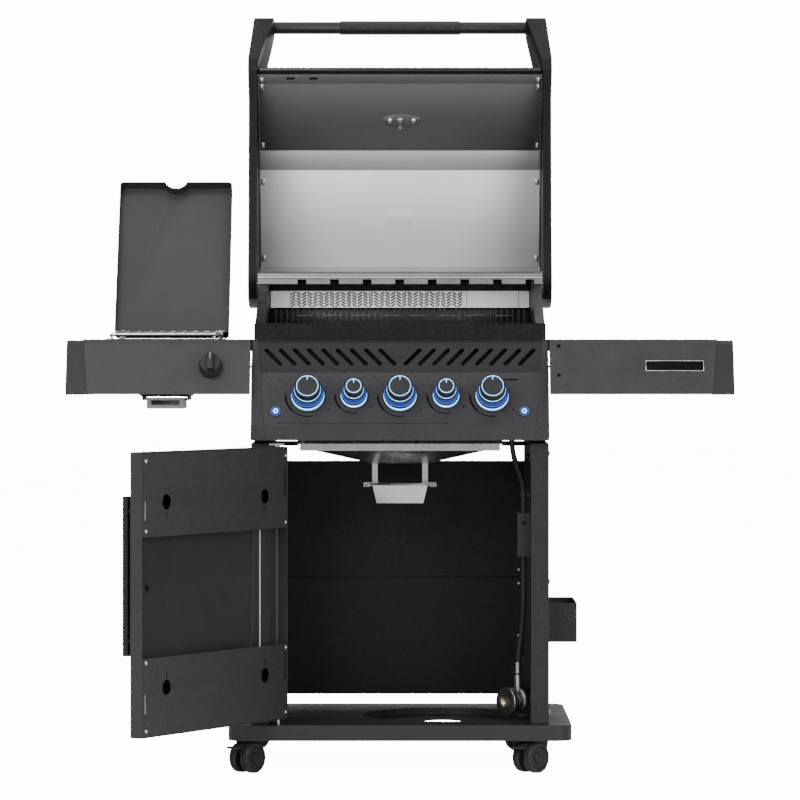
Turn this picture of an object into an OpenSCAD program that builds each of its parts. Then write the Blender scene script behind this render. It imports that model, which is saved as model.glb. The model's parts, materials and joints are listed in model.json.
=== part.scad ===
// Three-burner gas barbecue grill on a wheeled cabinet, with an infrared side burner.
// Millimetres. X runs to the right, Y to the back, Z up. The floor is Z = 0.
// Inside the modules, Y is measured from the front edge of the bottom shelf.

/* [Cart] */
// Width of the cabinet over its posts
cart_w = 624; // [600:1:700]
// Width and depth of a square post
post_w = 38; // [30:1:45]
// Wall of a post or a rail
tube_wall = 1.5; // [1:0.1:2.5]
// Width of the bottom shelf
base_w = 720; // [700:1:820]
// Depth of the bottom shelf
base_d = 550; // [530:1:640]
// Height of the bottom shelf's rim
base_t = 33; // [28:1:40]
// Sheet of the bottom shelf
base_sheet = 2; // [1.5:0.1:3]
// Corner radius of the bottom shelf
base_r = 35; // [20:1:50]
// Floor to the underside of the bottom shelf
base_z = 68; // [60:1:75]
// Top of the cabinet's side frames above the floor
frame_top = 690; // [660:1:740]
// Radius of the gas bottle's seat
bottle_r = 172; // [160:1:180]
// Depth of the gas bottle's seat
bottle_sink = 14; // [8:1:18]

/* [Door] */
// Depth of the door
door_t = 28; // [22:1:32]
// Sheet of the door
door_sheet = 1.5; // [1:0.1:2.5]
// Gap round the door
door_gap = 4; // [3:0.5:6]
// Radius of the door's pivot pins
door_pin_r = 4; // [3:0.5:5]
// Angle that the door is drawn open
door_open = 121; // [90:1:125]

/* [Firebox and lid] */
// Distance of the firebox's end walls in from the cabinet's sides
box_inset = 4; // [4:1:15]
// Thickness of the firebox's end walls
box_wall = 20; // [14:1:24]
// Depth of the firebox
box_d = 465; // [440:1:480]
// Radius of the lid's hinge pins
lid_pin_r = 5; // [4:0.5:7]
// Gap between the firebox's end walls and the lid's end castings
lid_side_gap = 10; // [6:1:14]
// Thickness of the lid's end castings
lid_end_t = 19; // [14:1:24]
// Sheet of the lid's shell and liner
lid_sheet = 1.5; // [1:0.1:2.5]
// Space between the lid's shell and its liner
lid_space = 9; // [5:1:12]
// Radius of the lid's handle
handle_r = 14; // [11:0.5:16]
// Angle that the lid is drawn open
lid_open = 102.8; // [80:0.1:103]

/* [Control panel] */
// Distance between neighbouring knobs
knob_pitch = 96.5; // [85:0.5:100]
// Base radius of a main burner's knob
big_knob_r = 34; // [28:0.5:36]
// Base radius of the two small knobs
small_knob_r = 27; // [20:0.5:30]
// Travel of a knob that is pushed in
knob_travel = 4; // [3:0.5:5]
// Radius of a valve's stem
stem_r = 4; // [3:0.5:5]
// Radius of the two round push buttons
button_r = 8; // [6:0.5:10]

/* [Side shelves] */
// Width of a side shelf
shelf_w = 386; // [340:1:460]
// Depth of a side shelf
shelf_d = 470; // [440:1:500]
// Sheet of a side shelf
shelf_sheet = 1.5; // [1:0.1:2.5]
// Width of the side burner's lid
side_lid_w = 250; // [220:1:270]
// Length of the side burner's lid
side_lid_l = 392; // [350:1:392]
// Radius of the side burner lid's hinge pin
side_pin_r = 2.5; // [2:0.5:3.5]
// Angle that the side burner's lid is drawn open
side_lid_open = 121; // [90:1:125]

/* [Casters] */
// Radius of a caster wheel
wheel_r = 32; // [28:0.5:32]
// Width of one caster wheel
wheel_w = 18; // [12:1:20]
// Distance from the swivel's axis to the axle
caster_trail = 34; // [30:1:38]
// Radius of a caster's axle
axle_r = 4; // [3:0.5:5]
// Distance of the swivels from the shelf's sides
caster_inset = 62; // [55:1:70]

/* [Hidden] */
$fn = 48;
e = 0.01;                                         // overreach of a cut
run_fit = 0.05;                                   // radial clearance of a turning pin
seam = 0.3;                                       // gap at a joint between two fixed covers
round_sides = 72;                                 // sides of the rounds that are looked at closely
small_sides = 24;                                 // sides of the smallest rounds

// Cart
base_top = base_z + base_t;
cart_front = 18;                                  // posts stand this far behind the shelf's edge
cart_back = base_d - 18;
post_in = cart_w / 2 - post_w;                    // inner face of a post
side_rail_h = 24;                                 // height of the bottom rails
side_sheet = 2.5;                                 // sheet that closes the cabinet's sides
bottle_x = 92;
bottle_y = 265;
bottle_vent_r = 40;
back_y = cart_back - post_w + 6;                  // front face of the back panels
back_t = 18;
back_sheet = 1.5;
back_seam = base_top + 283;
back_low = base_top + 25;
back_high = frame_top - 50;
rail_y = [cart_front + post_w + 40, cart_back - post_w - 40];
catch_z = [frame_top - 239, frame_top - 147];     // height of the door's catch
catch_x = post_in - 27;
catch_sheet = 2;

// Door, drawn closed before it is turned
door_y = cart_front + 17 - door_t;
door_w = 2 * (post_in - door_gap);
door_z0 = base_top + 12;
door_z1 = frame_top - 7;
pivot_in = 15;                                    // pivots stand this far in from the door's edge
pivot = [-door_w / 2 + pivot_in, door_y + door_t / 2];
// The bevel lets the hinge edge turn past its post
door_bevel = pivot_in - sqrt(pow(pivot_in + door_gap - 1.2, 2) - pow(door_t / 2, 2));
door_step = [36, 103];                            // the groove down the door's front, from its hinge edge
door_step_d = 5;
plate_top_h = 170;
plate_low_h = 158;
plate_t = 1.2;
plate_d = 12;
keyhole_r = 15.5;
keyhole_side = 88;
handle_bolt_r = 6;

// Firebox and lid; the lid's outline is drawn closed as [Y, Z]
box_y = 95;
box_back = box_y + box_d;
box_w = cart_w - 2 * box_inset;
box_in = box_w / 2 - box_wall;
rim_z = frame_top + 252;
box_sheet = 6;
burner_x = [-2 * knob_pitch, 0, 2 * knob_pitch];
burner_z = frame_top + 110;
burner_r = 16;
sear_z = frame_top + 148;
sear_pitch = 112;
grid_z = frame_top + 228;
hinge = [box_back + 15, frame_top + 340];
rack_z = frame_top + 350;                         // top of the end walls, under the warming rack
rack_y = box_back - 119;
rack_lip = 11;                                    // how far the rack's lip hangs below the end walls' top
rear_half = box_in - 2;
rear_z = [frame_top + 288, frame_top + 325];      // height of the rear burner
rear_d = 24;
rear_sheet = 1.5;
baffle_z = frame_top + 240;
lid_in = box_w / 2 + lid_side_gap;                // inner face of an end casting
liner_path = [
    hinge + [-463, -78], hinge + [-322, 48], hinge + [-285, 81], hinge + [-84, 187],
    hinge + [-22, 160], hinge + [14, 34],
];
lid_room = concat([liner_path[0] + [-9, -8]], [for (i = [1:5]) liner_path[i]]);
shell_path = path_beside(liner_path, lid_space + lid_sheet);
lid_end_path = [
    hinge + [-470, -88], hinge + [-120, -30], hinge + [-20, -38], hinge + [14, -32], hinge + [36, -10],
    hinge + [42, 30], hinge + [24, 130], hinge + [-10, 182], hinge + [-82, 208],
    hinge + [-290, 103], hinge + [-333, 66], hinge + [-484, -66],
];
handle_at = hinge + [-602, 25];
handle_end = 22;                                  // depth of the handle's seat in each end casting
grip_half = 135;
grip_wall = 1.8;
lid_half = lid_in - 0.5;
gauge_share = 0.59;                               // how far up the lid's front the gauge sits
gauge_seat = liner_path[0] + gauge_share * (liner_path[1] - liner_path[0]);
gauge_r = 38;
gauge_rod_r = 3;
front_slope = atan2(liner_path[1][1] - liner_path[0][1], liner_path[1][0] - liner_path[0][0]);

// Control panel: its outline as [Y, Z], from the bottom lip up
panel_lip = [14, frame_top + 7];
panel_low = [-15, frame_top + 7];
panel_fold = [-15, frame_top + 37];
panel_crease = [31, frame_top + 148];
panel_head = [83, frame_top + 210];
panel_end = [box_y - 1, frame_top + 218];
panel_path = [panel_lip, panel_low, panel_fold, panel_crease, panel_head, panel_end];
panel_sheet = 1.5;
face_tilt = atan2(panel_crease[0] - panel_fold[0], panel_crease[1] - panel_fold[1]);
vent_tilt = atan2(panel_head[0] - panel_crease[0], panel_head[1] - panel_crease[1]);
face_len = norm(panel_crease - panel_fold);
vent_len = norm(panel_head - panel_crease);
knob_up = 0.568 * face_len;
button_up = 0.27 * face_len;
button_x = 260;
button_ring = 3;                                  // width of the ring round a button
panel_half_low = 281;                             // half width where the end caps start, bottom and top
panel_half_high = 300;
vent_pitch = 30;
vent_turn = 52;
vent_l = 57;                                      // length of a slot over its round ends
vent_r = 4.7;
vent_up = vent_len / 2 + 2.4;
knob_x = [for (i = [-2:2]) i * knob_pitch];
knob_r = [big_knob_r, small_knob_r, big_knob_r, small_knob_r, big_knob_r];
bezel_h = 5;
knob_lift = bezel_h + knob_travel + 0.5;          // back of a knob above the panel
knob_top = 56;
stem_top = 26;
stem_root = -22;

// Side shelves
shelf_in = cart_w / 2 + 1;                        // inner end of a shelf
shelf_out = shelf_in + shelf_w;
shelf_z = frame_top + 218;
fascia_top = [32, shelf_z - 8];
fascia_low = [-13, shelf_z - 115];
fascia_tilt = atan2(fascia_top[0] - fascia_low[0], fascia_top[1] - fascia_low[1]);
fascia_len = norm(fascia_top - fascia_low);
cap_w_top = 33;                                   // width of an end cap, at its top and its bottom
cap_w_low = 46;
cap_wall = 4;
skirt_h = 26;                                     // turned-down edge of a shelf top
shelf_back = fascia_top[0] + shelf_d - 32;
side_x = 6 - shelf_in - shelf_w / 2;              // middle of the side burner
side_lid_hinge = [shelf_back - 30, shelf_z + 16];
side_lid_sheet = 1.5;
side_knob_x = side_x + 104;
side_knob_up = 0.52 * fascia_len;
well_w = 226;                                     // opening of the side burner in its shelf
well_y0 = 64;
well_y1 = side_lid_hinge[0] - 22;
well_mid = (well_y0 + well_y1) / 2;
well_wall = 1.5;
well_gap = 4;                                     // room between the bowl and the edge of its opening
well_low = shelf_z - 62;                          // where the bowl's straight sides end
bowl_z = shelf_z - 122;
tray_z = shelf_z - 148;                           // underside of the side burner's drip tray
tray_h = 22;
bracket_y = [130, 420];                           // brackets of the shelves
bracket_w = 30;
bracket_out = 60;
bracket_drop = 60;
bracket_sheet = 2;
caddy_y = [200, 413];
caddy_z = [base_top + 160, base_top + 244];
caddy_out = 66;
caddy_sheet = 2;

// Casters
caster_x = base_w / 2 - caster_inset;
caster_y = [50, base_d - 50];
caster_turn = [-50, -45, 35, -30];                // front left, front right, rear left, rear right
swivel_r = 5.5;
wheel_gap = 14;
caster_plate_t = 3;
boss_z = base_z + 10;
pedal_at = [caster_trail + 17, base_z - 12];      // axle of a brake pedal, behind the swivel and up
pedal_r = 2;

// Grease pan and its tray
pan_w = 424;
pan_y0 = 118;
pan_y1 = 480;
pan_top = frame_top - 3;
pan_low = frame_top - 48;
pan_rim = 15;
pan_lip = 12;
pan_sheet = 1.2;
tray_top = frame_top - 94;
tray_low = frame_top - 133;
tray_half = 70;
tray_y0 = 205;
tray_y1 = 335;

// Gas hose, as points from the panel's manifold down to the regulator
hose_r = 6;
hose_wall_x = post_in - 12;
hose_clip_y = 116;
hose_high = [
    [-26, 66, 67], [-26, 66, 50], [-26, 66, 32], [-26, 68, 14], [-26, 72, -4], [-24, 78, -22],
    [-19, 88, -40], [-12, 99, -58], [-5, 108, -76], [-1, 114, -92], [0, hose_clip_y, -108],
];
hose_low = [
    [0, hose_clip_y, 399], [0, hose_clip_y, 369], [0, hose_clip_y, 339], [0, 117, 309], [0, 118, 279],
    [0, 119, 249], [-1, 120, 219], [-4, 120, 189], [-8, 120, 164], [-11, 120, 141], [-12, 120, 119],
    [-12, 120, 97],
];
hose_points = concat([for (p = hose_high) p + [hose_wall_x, 0, frame_top]],
                     [for (p = hose_low) p + [hose_wall_x, 0, base_top]]);
hose_start = hose_points[0];
hose_end = hose_points[len(hose_points) - 1];
regulator_at = [hose_wall_x - 24, 110, base_top + 42];
regulator_turn = 50;                              // its face looks this far to the left of straight ahead
regulator_r = 27;
nozzle_r = 9;
nut_r = 31;
nut_bore_r = 17;
union_r = 8;                                      // hose fittings at both ends of the hose

// The whole is placed so that the middle of its outline, front to back, is at Y = 0.
door_corner = pivot + turned([door_w - 15, -door_t / 2], -door_open);
front_reach = min(door_corner[1], (pivot + turned([door_w - 15, door_t / 2], -door_open))[1]);
rear_reach = max([for (p = lid_end_path) (hinge + turned(p - hinge, -lid_open))[0]]);
front_y = -(front_reach + rear_reach) / 2;

function turned(p, a) = [p[0] * cos(a) - p[1] * sin(a), p[0] * sin(a) + p[1] * cos(a)];
function unit(v) = v / norm(v);
function side_of(p, i) = let (d = unit(p[i + 1] - p[i])) [-d[1], d[0]];
function mitre(p, i) =
    i == 0 ? side_of(p, 0)
    : i == len(p) - 1 ? side_of(p, i - 1)
    : let (a = side_of(p, i - 1), b = side_of(p, i)) (a + b) / (1 + a * b);
function path_beside(p, d) = [for (i = [0:len(p) - 1]) p[i] + d * mitre(p, i)];
function backwards(p) = [for (i = [len(p) - 1:-1:0]) p[i]];

// ---- Placing ----

module placed() translate([0, front_y, 0]) children();

module both_sides() {
    children();
    mirror([1, 0, 0]) children();
}

// An outline in [Y, Z], drawn out along X
module along_x(x0, x1) translate([x0, 0, 0]) rotate([90, 0, 90]) linear_extrude(x1 - x0) children();

// An outline in [X, Z], drawn out along Y
module along_y(y0, y1) translate([0, y1, 0]) rotate([90, 0, 0]) linear_extrude(y1 - y0) children();

module block(x, y, z) translate([x[0], y[0], z[0]]) cube([x[1] - x[0], y[1] - y[0], z[1] - z[0]]);

module rod_x(x0, x1, y, z, r) translate([x0, y, z]) rotate([0, 90, 0]) cylinder(h = x1 - x0, r = r);

module rod_y(y0, y1, x, z, r) translate([x, y0, z]) rotate([-90, 0, 0]) cylinder(h = y1 - y0, r = r);

// A bent sheet of thickness t on the left of a path
module bent_sheet(path, t) polygon(concat(path, backwards(path_beside(path, t))));

module round_rect(x, y, r) {
    for (i = [0, 1], j = [0, 1])
        translate([i == 0 ? x[0] + r : x[1] - r, j == 0 ? y[0] + r : y[1] - r]) circle(r);
    translate([x[0] + r, y[0]]) square([x[1] - x[0] - 2 * r, y[1] - y[0]]);
    translate([x[0], y[0] + r]) square([x[1] - x[0], y[1] - y[0] - 2 * r]);
}

// A slot with round ends, of length l between their centres, along X
module slot_2d(l, r) {
    for (s = [-1, 1]) translate([s * l / 2, 0]) circle(r);
    translate([-l / 2, -r]) square([l, 2 * r]);
}

// Local Z points out of the control panel's sloping face, local Y up along it
module on_face(x, up)
    translate([x, panel_fold[0], panel_fold[1]])
        rotate([90 - face_tilt, 0, 0]) translate([0, up, 0]) children();

module on_vents(x, up)
    translate([x, panel_crease[0], panel_crease[1]])
        rotate([90 - vent_tilt, 0, 0]) translate([0, up, 0]) children();

module on_fascia(x, up)
    translate([x, fascia_low[0], fascia_low[1]])
        rotate([90 - fascia_tilt, 0, 0]) translate([0, up, 0]) children();

module at_hinge(h, angle)
    translate([0, h[0], h[1]]) rotate([-angle, 0, 0]) translate([0, -h[0], -h[1]]) children();

module opened_lid() placed() at_hinge(hinge, lid_open) children();

module opened_side_lid() placed() at_hinge(side_lid_hinge, side_lid_open) children();

module opened_door()
    placed() translate([pivot[0], pivot[1], 0]) rotate([0, 0, -door_open])
        translate([-pivot[0], -pivot[1], 0]) children();

// ---- Cart ----

module base_shelf() color("#232425") placed() {
    difference() {
        translate([0, 0, base_z]) linear_extrude(base_t)
            round_rect([-base_w / 2, base_w / 2], [0, base_d], base_r);
        difference() {
            translate([0, 0, base_z - e]) linear_extrude(base_t - base_sheet + e)
                round_rect([-base_w / 2 + base_sheet, base_w / 2 - base_sheet],
                           [base_sheet, base_d - base_sheet], base_r - base_sheet);
            translate([bottle_x, bottle_y, base_top - base_sheet - bottle_sink])
                cylinder(h = base_t, r = bottle_r + base_sheet, $fn = 96);
        }
        translate([bottle_x, bottle_y, base_top - bottle_sink])
            cylinder(h = base_t, r = bottle_r, $fn = 96);
        translate([bottle_x, bottle_y, base_z])
            cylinder(h = base_t, r = bottle_vent_r);
    }
}

module at_caster(i)
    translate([i % 2 == 0 ? -caster_x : caster_x, caster_y[i < 2 ? 0 : 1], 0]) children();

module caster_plates() color("#303234") placed() for (i = [0:3]) at_caster(i) {
    under = base_top - base_sheet;
    difference() {
        union() {
            block([-30, 30], [-30, 30], [under - caster_plate_t, under]);
            translate([0, 0, boss_z]) cylinder(h = under - caster_plate_t - boss_z, r = swivel_r + 4.5);
        }
        translate([0, 0, boss_z - e]) cylinder(h = under - 2 - boss_z, r = swivel_r + run_fit);
    }
}

module side_frames() color("#26282a") placed() both_sides() {
    x0 = post_in;
    x1 = cart_w / 2;
    difference() {
        union() {
            for (y = [cart_front, cart_back - post_w])
                block([x0, x1], [y, y + post_w], [base_top, frame_top]);
            block([x0, x1], [cart_front, cart_back], [frame_top - post_w, frame_top]);
            block([x0, x1], [cart_front, cart_back], [base_top, base_top + side_rail_h]);
            block([x1 - side_sheet, x1], [cart_front, cart_back], [base_top, frame_top]);
        }
        for (y = [cart_front, cart_back - post_w])
            block([x0 + tube_wall, x1 - tube_wall], [y + tube_wall, y + post_w - tube_wall],
                  [base_top - e, frame_top - post_w]);
        for (z = [[base_top + tube_wall, base_top + side_rail_h - tube_wall],
                  [frame_top - post_w + tube_wall, frame_top - tube_wall]])
            block([x0 - e, x1 - side_sheet], rail_y, z);
    }
}

module back_panels() color("#1d1e1f") placed()
    for (z = [[back_low, back_seam - 0.5], [back_seam + 0.5, back_high]])
        difference() {
            block([-post_in, post_in], [back_y, back_y + back_t], z);
            block([-post_in + back_sheet, post_in - back_sheet],
                  [back_y + back_sheet, back_y + back_t + e], z + [back_sheet, -back_sheet]);
        }

// The door's catch, the regulator's hook, the hose clip and the two rails of the grease pan
module cabinet_brackets() color("#3a3c3e") placed() {
    catch_y = cart_front + post_w;
    side_wall = cart_w / 2 - side_sheet;
    hook_z = regulator_at[2] + regulator_r + 1;
    difference() {
        union() {
            block([catch_x, post_in + 16], [catch_y, catch_y + catch_sheet], catch_z);
            block([catch_x, catch_x + catch_sheet], [catch_y, catch_y + 26], catch_z);
        }
        rod_y(catch_y - e, catch_y + catch_sheet + e, post_in - 14, catch_z[1] - 21, 5);
    }
    block([catch_x, side_wall], [160, 160 + catch_sheet], [base_top + 50, base_top + 133]);
    block([post_in - 12, post_in + 4], [124, 160], [hook_z, hook_z + catch_sheet]);
    difference() {
        block([post_in - 20, side_wall], [hose_clip_y - 4, hose_clip_y + 4],
              [frame_top - 116, frame_top - 108]);
        translate([hose_wall_x, hose_clip_y, frame_top - 120]) cylinder(h = 20, r = hose_r + 0.2);
    }
    both_sides()
        block([pan_w / 2 + 4, post_in], rail_y, [pan_top - 3.8, pan_top - 1.8]);
}

// Door pivots, lid pins and side lid pins
module hinge_pins() color("#8d9094") placed() {
    for (z = [[door_z0 - 12, door_z0 + 14], [door_z1 - 14, door_z1 + 7]])
        translate([pivot[0], pivot[1], z[0]]) cylinder(h = z[1] - z[0], r = door_pin_r);
    block([-post_in, pivot[0] + 12], [pivot[1] - 10, pivot[1] + 10], [frame_top - 4, frame_top]);
    both_sides() rod_x(box_in + 1, lid_in + lid_end_t, hinge[0], hinge[1], lid_pin_r);
    rod_x(side_x - side_lid_w / 2 + 2, side_x + side_lid_w / 2 - 2,
          side_lid_hinge[0], side_lid_hinge[1], side_pin_r);
    for (s = [-1, 1]) let (x = side_x + s * (side_lid_w / 2 - 18))
        block([x - 4, x + 4], [side_lid_hinge[0] - 5, side_lid_hinge[0] + 5],
              [shelf_z + e, side_lid_hinge[1] + 4]);
}

// ---- Gas ----

function ring(p, d, r, n) =
    let (u = unit(cross(d, [0, 1, 0.001])), v = unit(cross(d, u)))
    [for (k = [0:n - 1]) p + r * cos(360 * k / n) * u + r * sin(360 * k / n) * v];

// A round tube of n sides swept along a list of points
module swept_tube(points, r, n) {
    m = len(points);
    rings = [for (i = [0:m - 1])
        each ring(points[i], unit(points[min(i + 1, m - 1)] - points[max(i - 1, 0)]), r, n)];
    sides = [for (i = [0:m - 2], k = [0:n - 1])
        [i * n + k, (i + 1) * n + k, (i + 1) * n + (k + 1) % n, i * n + (k + 1) % n]];
    polyhedron(rings, concat(sides, [[for (k = [0:n - 1]) k]],
                             [[for (k = [n - 1:-1:0]) (m - 1) * n + k]]), convexity = 8);
}

module gas_hose() color("#4a4c4e") placed() swept_tube(hose_points, hose_r, 10);

// Local Z is the axis of the regulator's diaphragm, pointing out of its front
module at_regulator()
    translate(regulator_at) rotate([0, 0, -regulator_turn]) rotate([90, 0, 0]) children();

module regulator() color("#8b8d8f") placed() {
    at_regulator() rotate_extrude($fn = 64) polygon([
        [0, -30], [15, -30], [19, -27], [regulator_r - 2, -25], [regulator_r, -22], [regulator_r, -14],
        [regulator_r - 2, -11], [14, -10], [14, -1], [nozzle_r, -1], [nozzle_r, 13], [nozzle_r - 2, 15],
        [0, 15],
    ]);
    translate([hose_end[0], hose_end[1], regulator_at[2] + 18])
        cylinder(h = hose_end[2] - regulator_at[2] - 18, r = union_r);
}

// Hand wheel that screws onto the gas bottle's valve
module coupling_nut() color("#c4c6c8") placed() at_regulator() difference() {
    rotate_extrude($fn = 64) polygon([
        [0, 0], [nut_r - 2, 0], [nut_r, 2], [nut_r, 11], [nut_r - 2, 13], [24, 14], [22.5, 21], [0, 21],
    ]);
    translate([0, 0, 3]) cylinder(h = 20, r = nut_bore_r);
    translate([0, 0, -1]) cylinder(h = 10, r = nozzle_r + run_fit);
}

module valve_block(w, d) difference() {
    union() {
        translate([-w / 2, -w / 2, -10 - d]) cube([w, w, d]);
        translate([0, 0, -12]) cylinder(h = 6, r = 9);
    }
    translate([0, 0, stem_root - 1]) cylinder(h = 40, r = stem_r + run_fit);
}

module gas_manifold() color("#a9abae") placed() {
    x0 = -2.3 * knob_pitch;
    for (x = knob_x) on_face(x, knob_up) valve_block(24, 36);
    on_face(x0, knob_up) translate([0, 0, -55]) rotate([0, 90, 0])
        cylinder(h = hose_start[0] + 2 - x0, r = 9);
    translate(hose_start) cylinder(h = 8, r = union_r);
    on_fascia(side_knob_x, side_knob_up) valve_block(22, 34);
}

module main_burners() color("#9b9da0") placed()
    for (x = burner_x) difference() {
        rod_y(box_y - 11, box_back - 20, x, burner_z, burner_r);
        rod_y(box_y - 11 - e, box_back - 22, x, burner_z, burner_r - 1.5);
        for (s = [-1, 1], i = [0:11])
            translate([x + s * (burner_r - 1), box_y + 35 + 32 * i, burner_z]) rotate([0, 90, 0])
                cylinder(h = 8, r = 1.6, center = true, $fn = 16);
    }

// ---- Firebox ----

module end_wall_outline() {
    polygon([
        [box_y, frame_top], [box_back, frame_top], [box_back, hinge[1] + 8], [box_back - 4, rack_z],
        [rack_y + 3, rack_z], [rack_y + 3, rack_z - 13], [rack_y - 5, rack_z - 13],
        [box_y + 60, rim_z], [box_y, rim_z],
    ]);
    translate(hinge) circle(18);
    translate([box_back - 2, hinge[1] - 50]) square([17, 50]);
}

module firebox() color("#1b1c1d") placed() {
    across = [-box_in - e, box_in + e];
    difference() {
        union() {
            for (s = [0, 1]) mirror([s, 0, 0]) along_x(box_in, box_w / 2) end_wall_outline();
            block(across, [box_y, box_y + box_sheet], [frame_top + 10, rim_z]);
            block(across, [box_back - box_sheet, box_back], [frame_top + 10, rack_z + 8]);
            both_sides() block([box_in - 10, box_in + e], [box_y + 2, box_back - 2], [grid_z - 5, grid_z]);
            for (y = [[box_y + 2, box_y + 18], [box_back - 42, box_back - 2]])
                block(across, y, [sear_z - 4, sear_z]);
            block(across, [box_back - 46, box_back - 2], [burner_z - 20, burner_z - burner_r - 0.2]);
        }
        rod_x(-box_w, box_w, hinge[0], hinge[1], lid_pin_r);
        for (x = burner_x)
            rod_y(box_y - 1, box_y + box_sheet + 1, x, burner_z, burner_r + 0.5);
    }
}

// Tent-shaped heat plates over the burners
module sear_plates() color("#6d6f72") placed() for (x = [-2:2])
    translate([x * sear_pitch, 0, 0]) along_y(box_y + 8, box_back - 32)
        polygon([for (p = [[-46, 0.2], [-46, 12], [0, 44], [46, 12], [46, 0.2], [44.6, 0.2],
                           [44.6, 11.2], [0, 42.2], [-44.6, 11.2], [-44.6, 0.2]]) p + [0, sear_z]]);

// Infrared rear burner: a shallow housing and a front guard with rows of slanted slots
module rear_burner() color("#d5d6d8") placed() {
    y1 = box_back - box_sheet;
    difference() {
        block([-rear_half, rear_half], [y1 - rear_d, y1], rear_z);
        block([-rear_half + rear_sheet, rear_half - rear_sheet], [y1 - rear_d + rear_sheet, y1 + e],
              rear_z + [rear_sheet, -rear_sheet]);
        for (c = [0:32], r = [-2:2])
            translate([11.9 * c - 238, y1 - rear_d - 1, (rear_z[0] + rear_z[1]) / 2 + 6 * r])
                rotate([0, c % 2 == 0 ? 38 : -38, 0]) translate([-5, 0, -0.9]) cube([10, 4, 1.8]);
    }
    // Baffle below it, with its eight louvres
    difference() {
        block([-rear_half, rear_half], [y1 - 12, y1 - 10.8], [baffle_z, rear_z[0] - 0.5]);
        for (i = [0:7])
            block([-212 + 64 * i, -172 + 64 * i], [y1 - 13, y1 - 10], [baffle_z + 28, baffle_z + 31.5]);
    }
}

// Round-bar grids in two halves on one level
module cooking_grids() color("#5c5e60") placed()
    for (s = [0, 1]) mirror([s, 0, 0]) {
        x0 = 3;
        x1 = box_in - 2;
        y = [box_y + box_sheet + 5, box_back - 40];
        for (yy = [y[0], (y[0] + y[1]) / 2, y[1]])
            rod_x(x0, x1, yy, grid_z + 3.5, 3);
        for (i = [0:17]) let (x = x0 + 6 + i * (x1 - x0 - 12) / 17)
            rod_y(y[0] - 3, y[1] + 3, x, grid_z + 8, 4);
    }

// Folded rack across the end walls, with a lip that has eight notches
module warming_rack() color("#cfd1d3") placed() {
    half = box_w / 2 + 4;
    rack_sheet = 1.5;
    lip = [[rack_y + 14, rack_z + 17], [rack_y + 3, rack_z + 12], [rack_y, rack_z + 3],
           [rack_y, rack_z - rack_lip]];
    deck = [[rack_y + 1, rack_z + 0.2], [box_back - 8, rack_z + 0.2], [box_back - 8, rack_z + 12]];
    difference() {
        union() {
            along_x(-half, half) bent_sheet(lip, rack_sheet);
            along_x(-half, half) bent_sheet(deck, rack_sheet);
        }
        for (x = [-215:71.4:290])
            block([x - 9.5, x + 9.5], [rack_y - 2, rack_y + 4], [rack_z - rack_lip - 1, rack_z - 1]);
        for (x = [-290:30:280], y = [rack_y + 14, rack_y + 60])
            block([x, x + 18], [y, y + 36], [rack_z - 1, rack_z + 3]);
    }
}

module hopper(grow, drop) hull() {
    block([-180 - grow, 180 + grow], [pan_y0 + 20 - grow, pan_y1 - 20 + grow], [drop - 0.2, drop + 0.5]);
    block([-60 - grow, 60 + grow], [240 - grow, 300 + grow], [pan_low, pan_low + 0.5]);
}

// Hopper-shaped pan with a lip each side, a drain, and the hanger of the drip tray under it
module grease_pan() color("#aeb0b2") placed() {
    drop = pan_top - pan_rim;
    difference() {
        union() {
            block([-pan_w / 2, pan_w / 2], [pan_y0, pan_y1], [drop, pan_top]);
            for (s = [-1, 1])
                block([s * pan_w / 2 - (s < 0 ? pan_lip : e), s * pan_w / 2 + (s < 0 ? e : pan_lip)],
                      [pan_y0, pan_y1], [pan_top - pan_sheet, pan_top]);
            hopper(0, drop);
        }
        block([-pan_w / 2 + pan_sheet, pan_w / 2 - pan_sheet], [pan_y0 + pan_sheet, pan_y1 - pan_sheet],
              [drop + pan_sheet, pan_top + e]);
        translate([0, 0, 1.5]) hopper(-1, drop);
        translate([0, 270, pan_low - 1]) cylinder(h = 8, r = 14);
    }
    both_sides() {
        block([48, 60], [262, 278], [tray_top + 4, pan_low]);
        block([46, tray_half + 8], [262, 278], [tray_top + 2.5, tray_top + 4]);
        difference() {
            block([tray_half - 6, tray_half + 8], [tray_y0, tray_y1], [tray_top - 3, tray_top + 2.5]);
            block([tray_half - 7, tray_half + 6.5], [tray_y0 - 1, tray_y1 + 1],
                  [tray_top - 1.5, tray_top + 1]);
        }
    }
}

module cup(grow) hull() {
    block([-59 - grow, 59 + grow], [tray_y0 + 8 - grow, tray_y1 - 8 + grow], [tray_top - 0.4, tray_top]);
    block([-50 - grow, 50 + grow], [tray_y0 + 15 - grow, tray_y1 - 15 + grow], [tray_low, tray_low + 0.4]);
}

// Tapered tray with a flat rim that slides in the hanger
module drip_tray() color("#d8d9da") placed() {
    difference() {
        union() {
            block([-tray_half, tray_half], [tray_y0, tray_y1], [tray_top - 0.8, tray_top + 0.2]);
            cup(0);
        }
        translate([0, 0, 1]) cup(-1);
    }
}

// ---- Lid ----

module lid_shell() color("#141516") opened_lid() difference() {
    along_x(-lid_half, lid_half)
        bent_sheet(concat([shell_path[0] + [2, -6]], [for (i = [1:5]) shell_path[i]]), -lid_sheet);
    at_gauge() cylinder(h = 40, r = gauge_rod_r + 1);
}

module lid_liner() color("#c2c4c6") opened_lid() difference() {
    along_x(-lid_half + 1, lid_half - 1) bent_sheet(liner_path, lid_sheet);
    at_gauge() translate([0, 0, -14]) cylinder(h = 20, r = 2 * gauge_rod_r);
}

// Local Z points out of the lid's front, from the liner's inner face
module at_gauge() translate([0, gauge_seat[0], gauge_seat[1]]) rotate([front_slope, 0, 0]) children();

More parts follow.
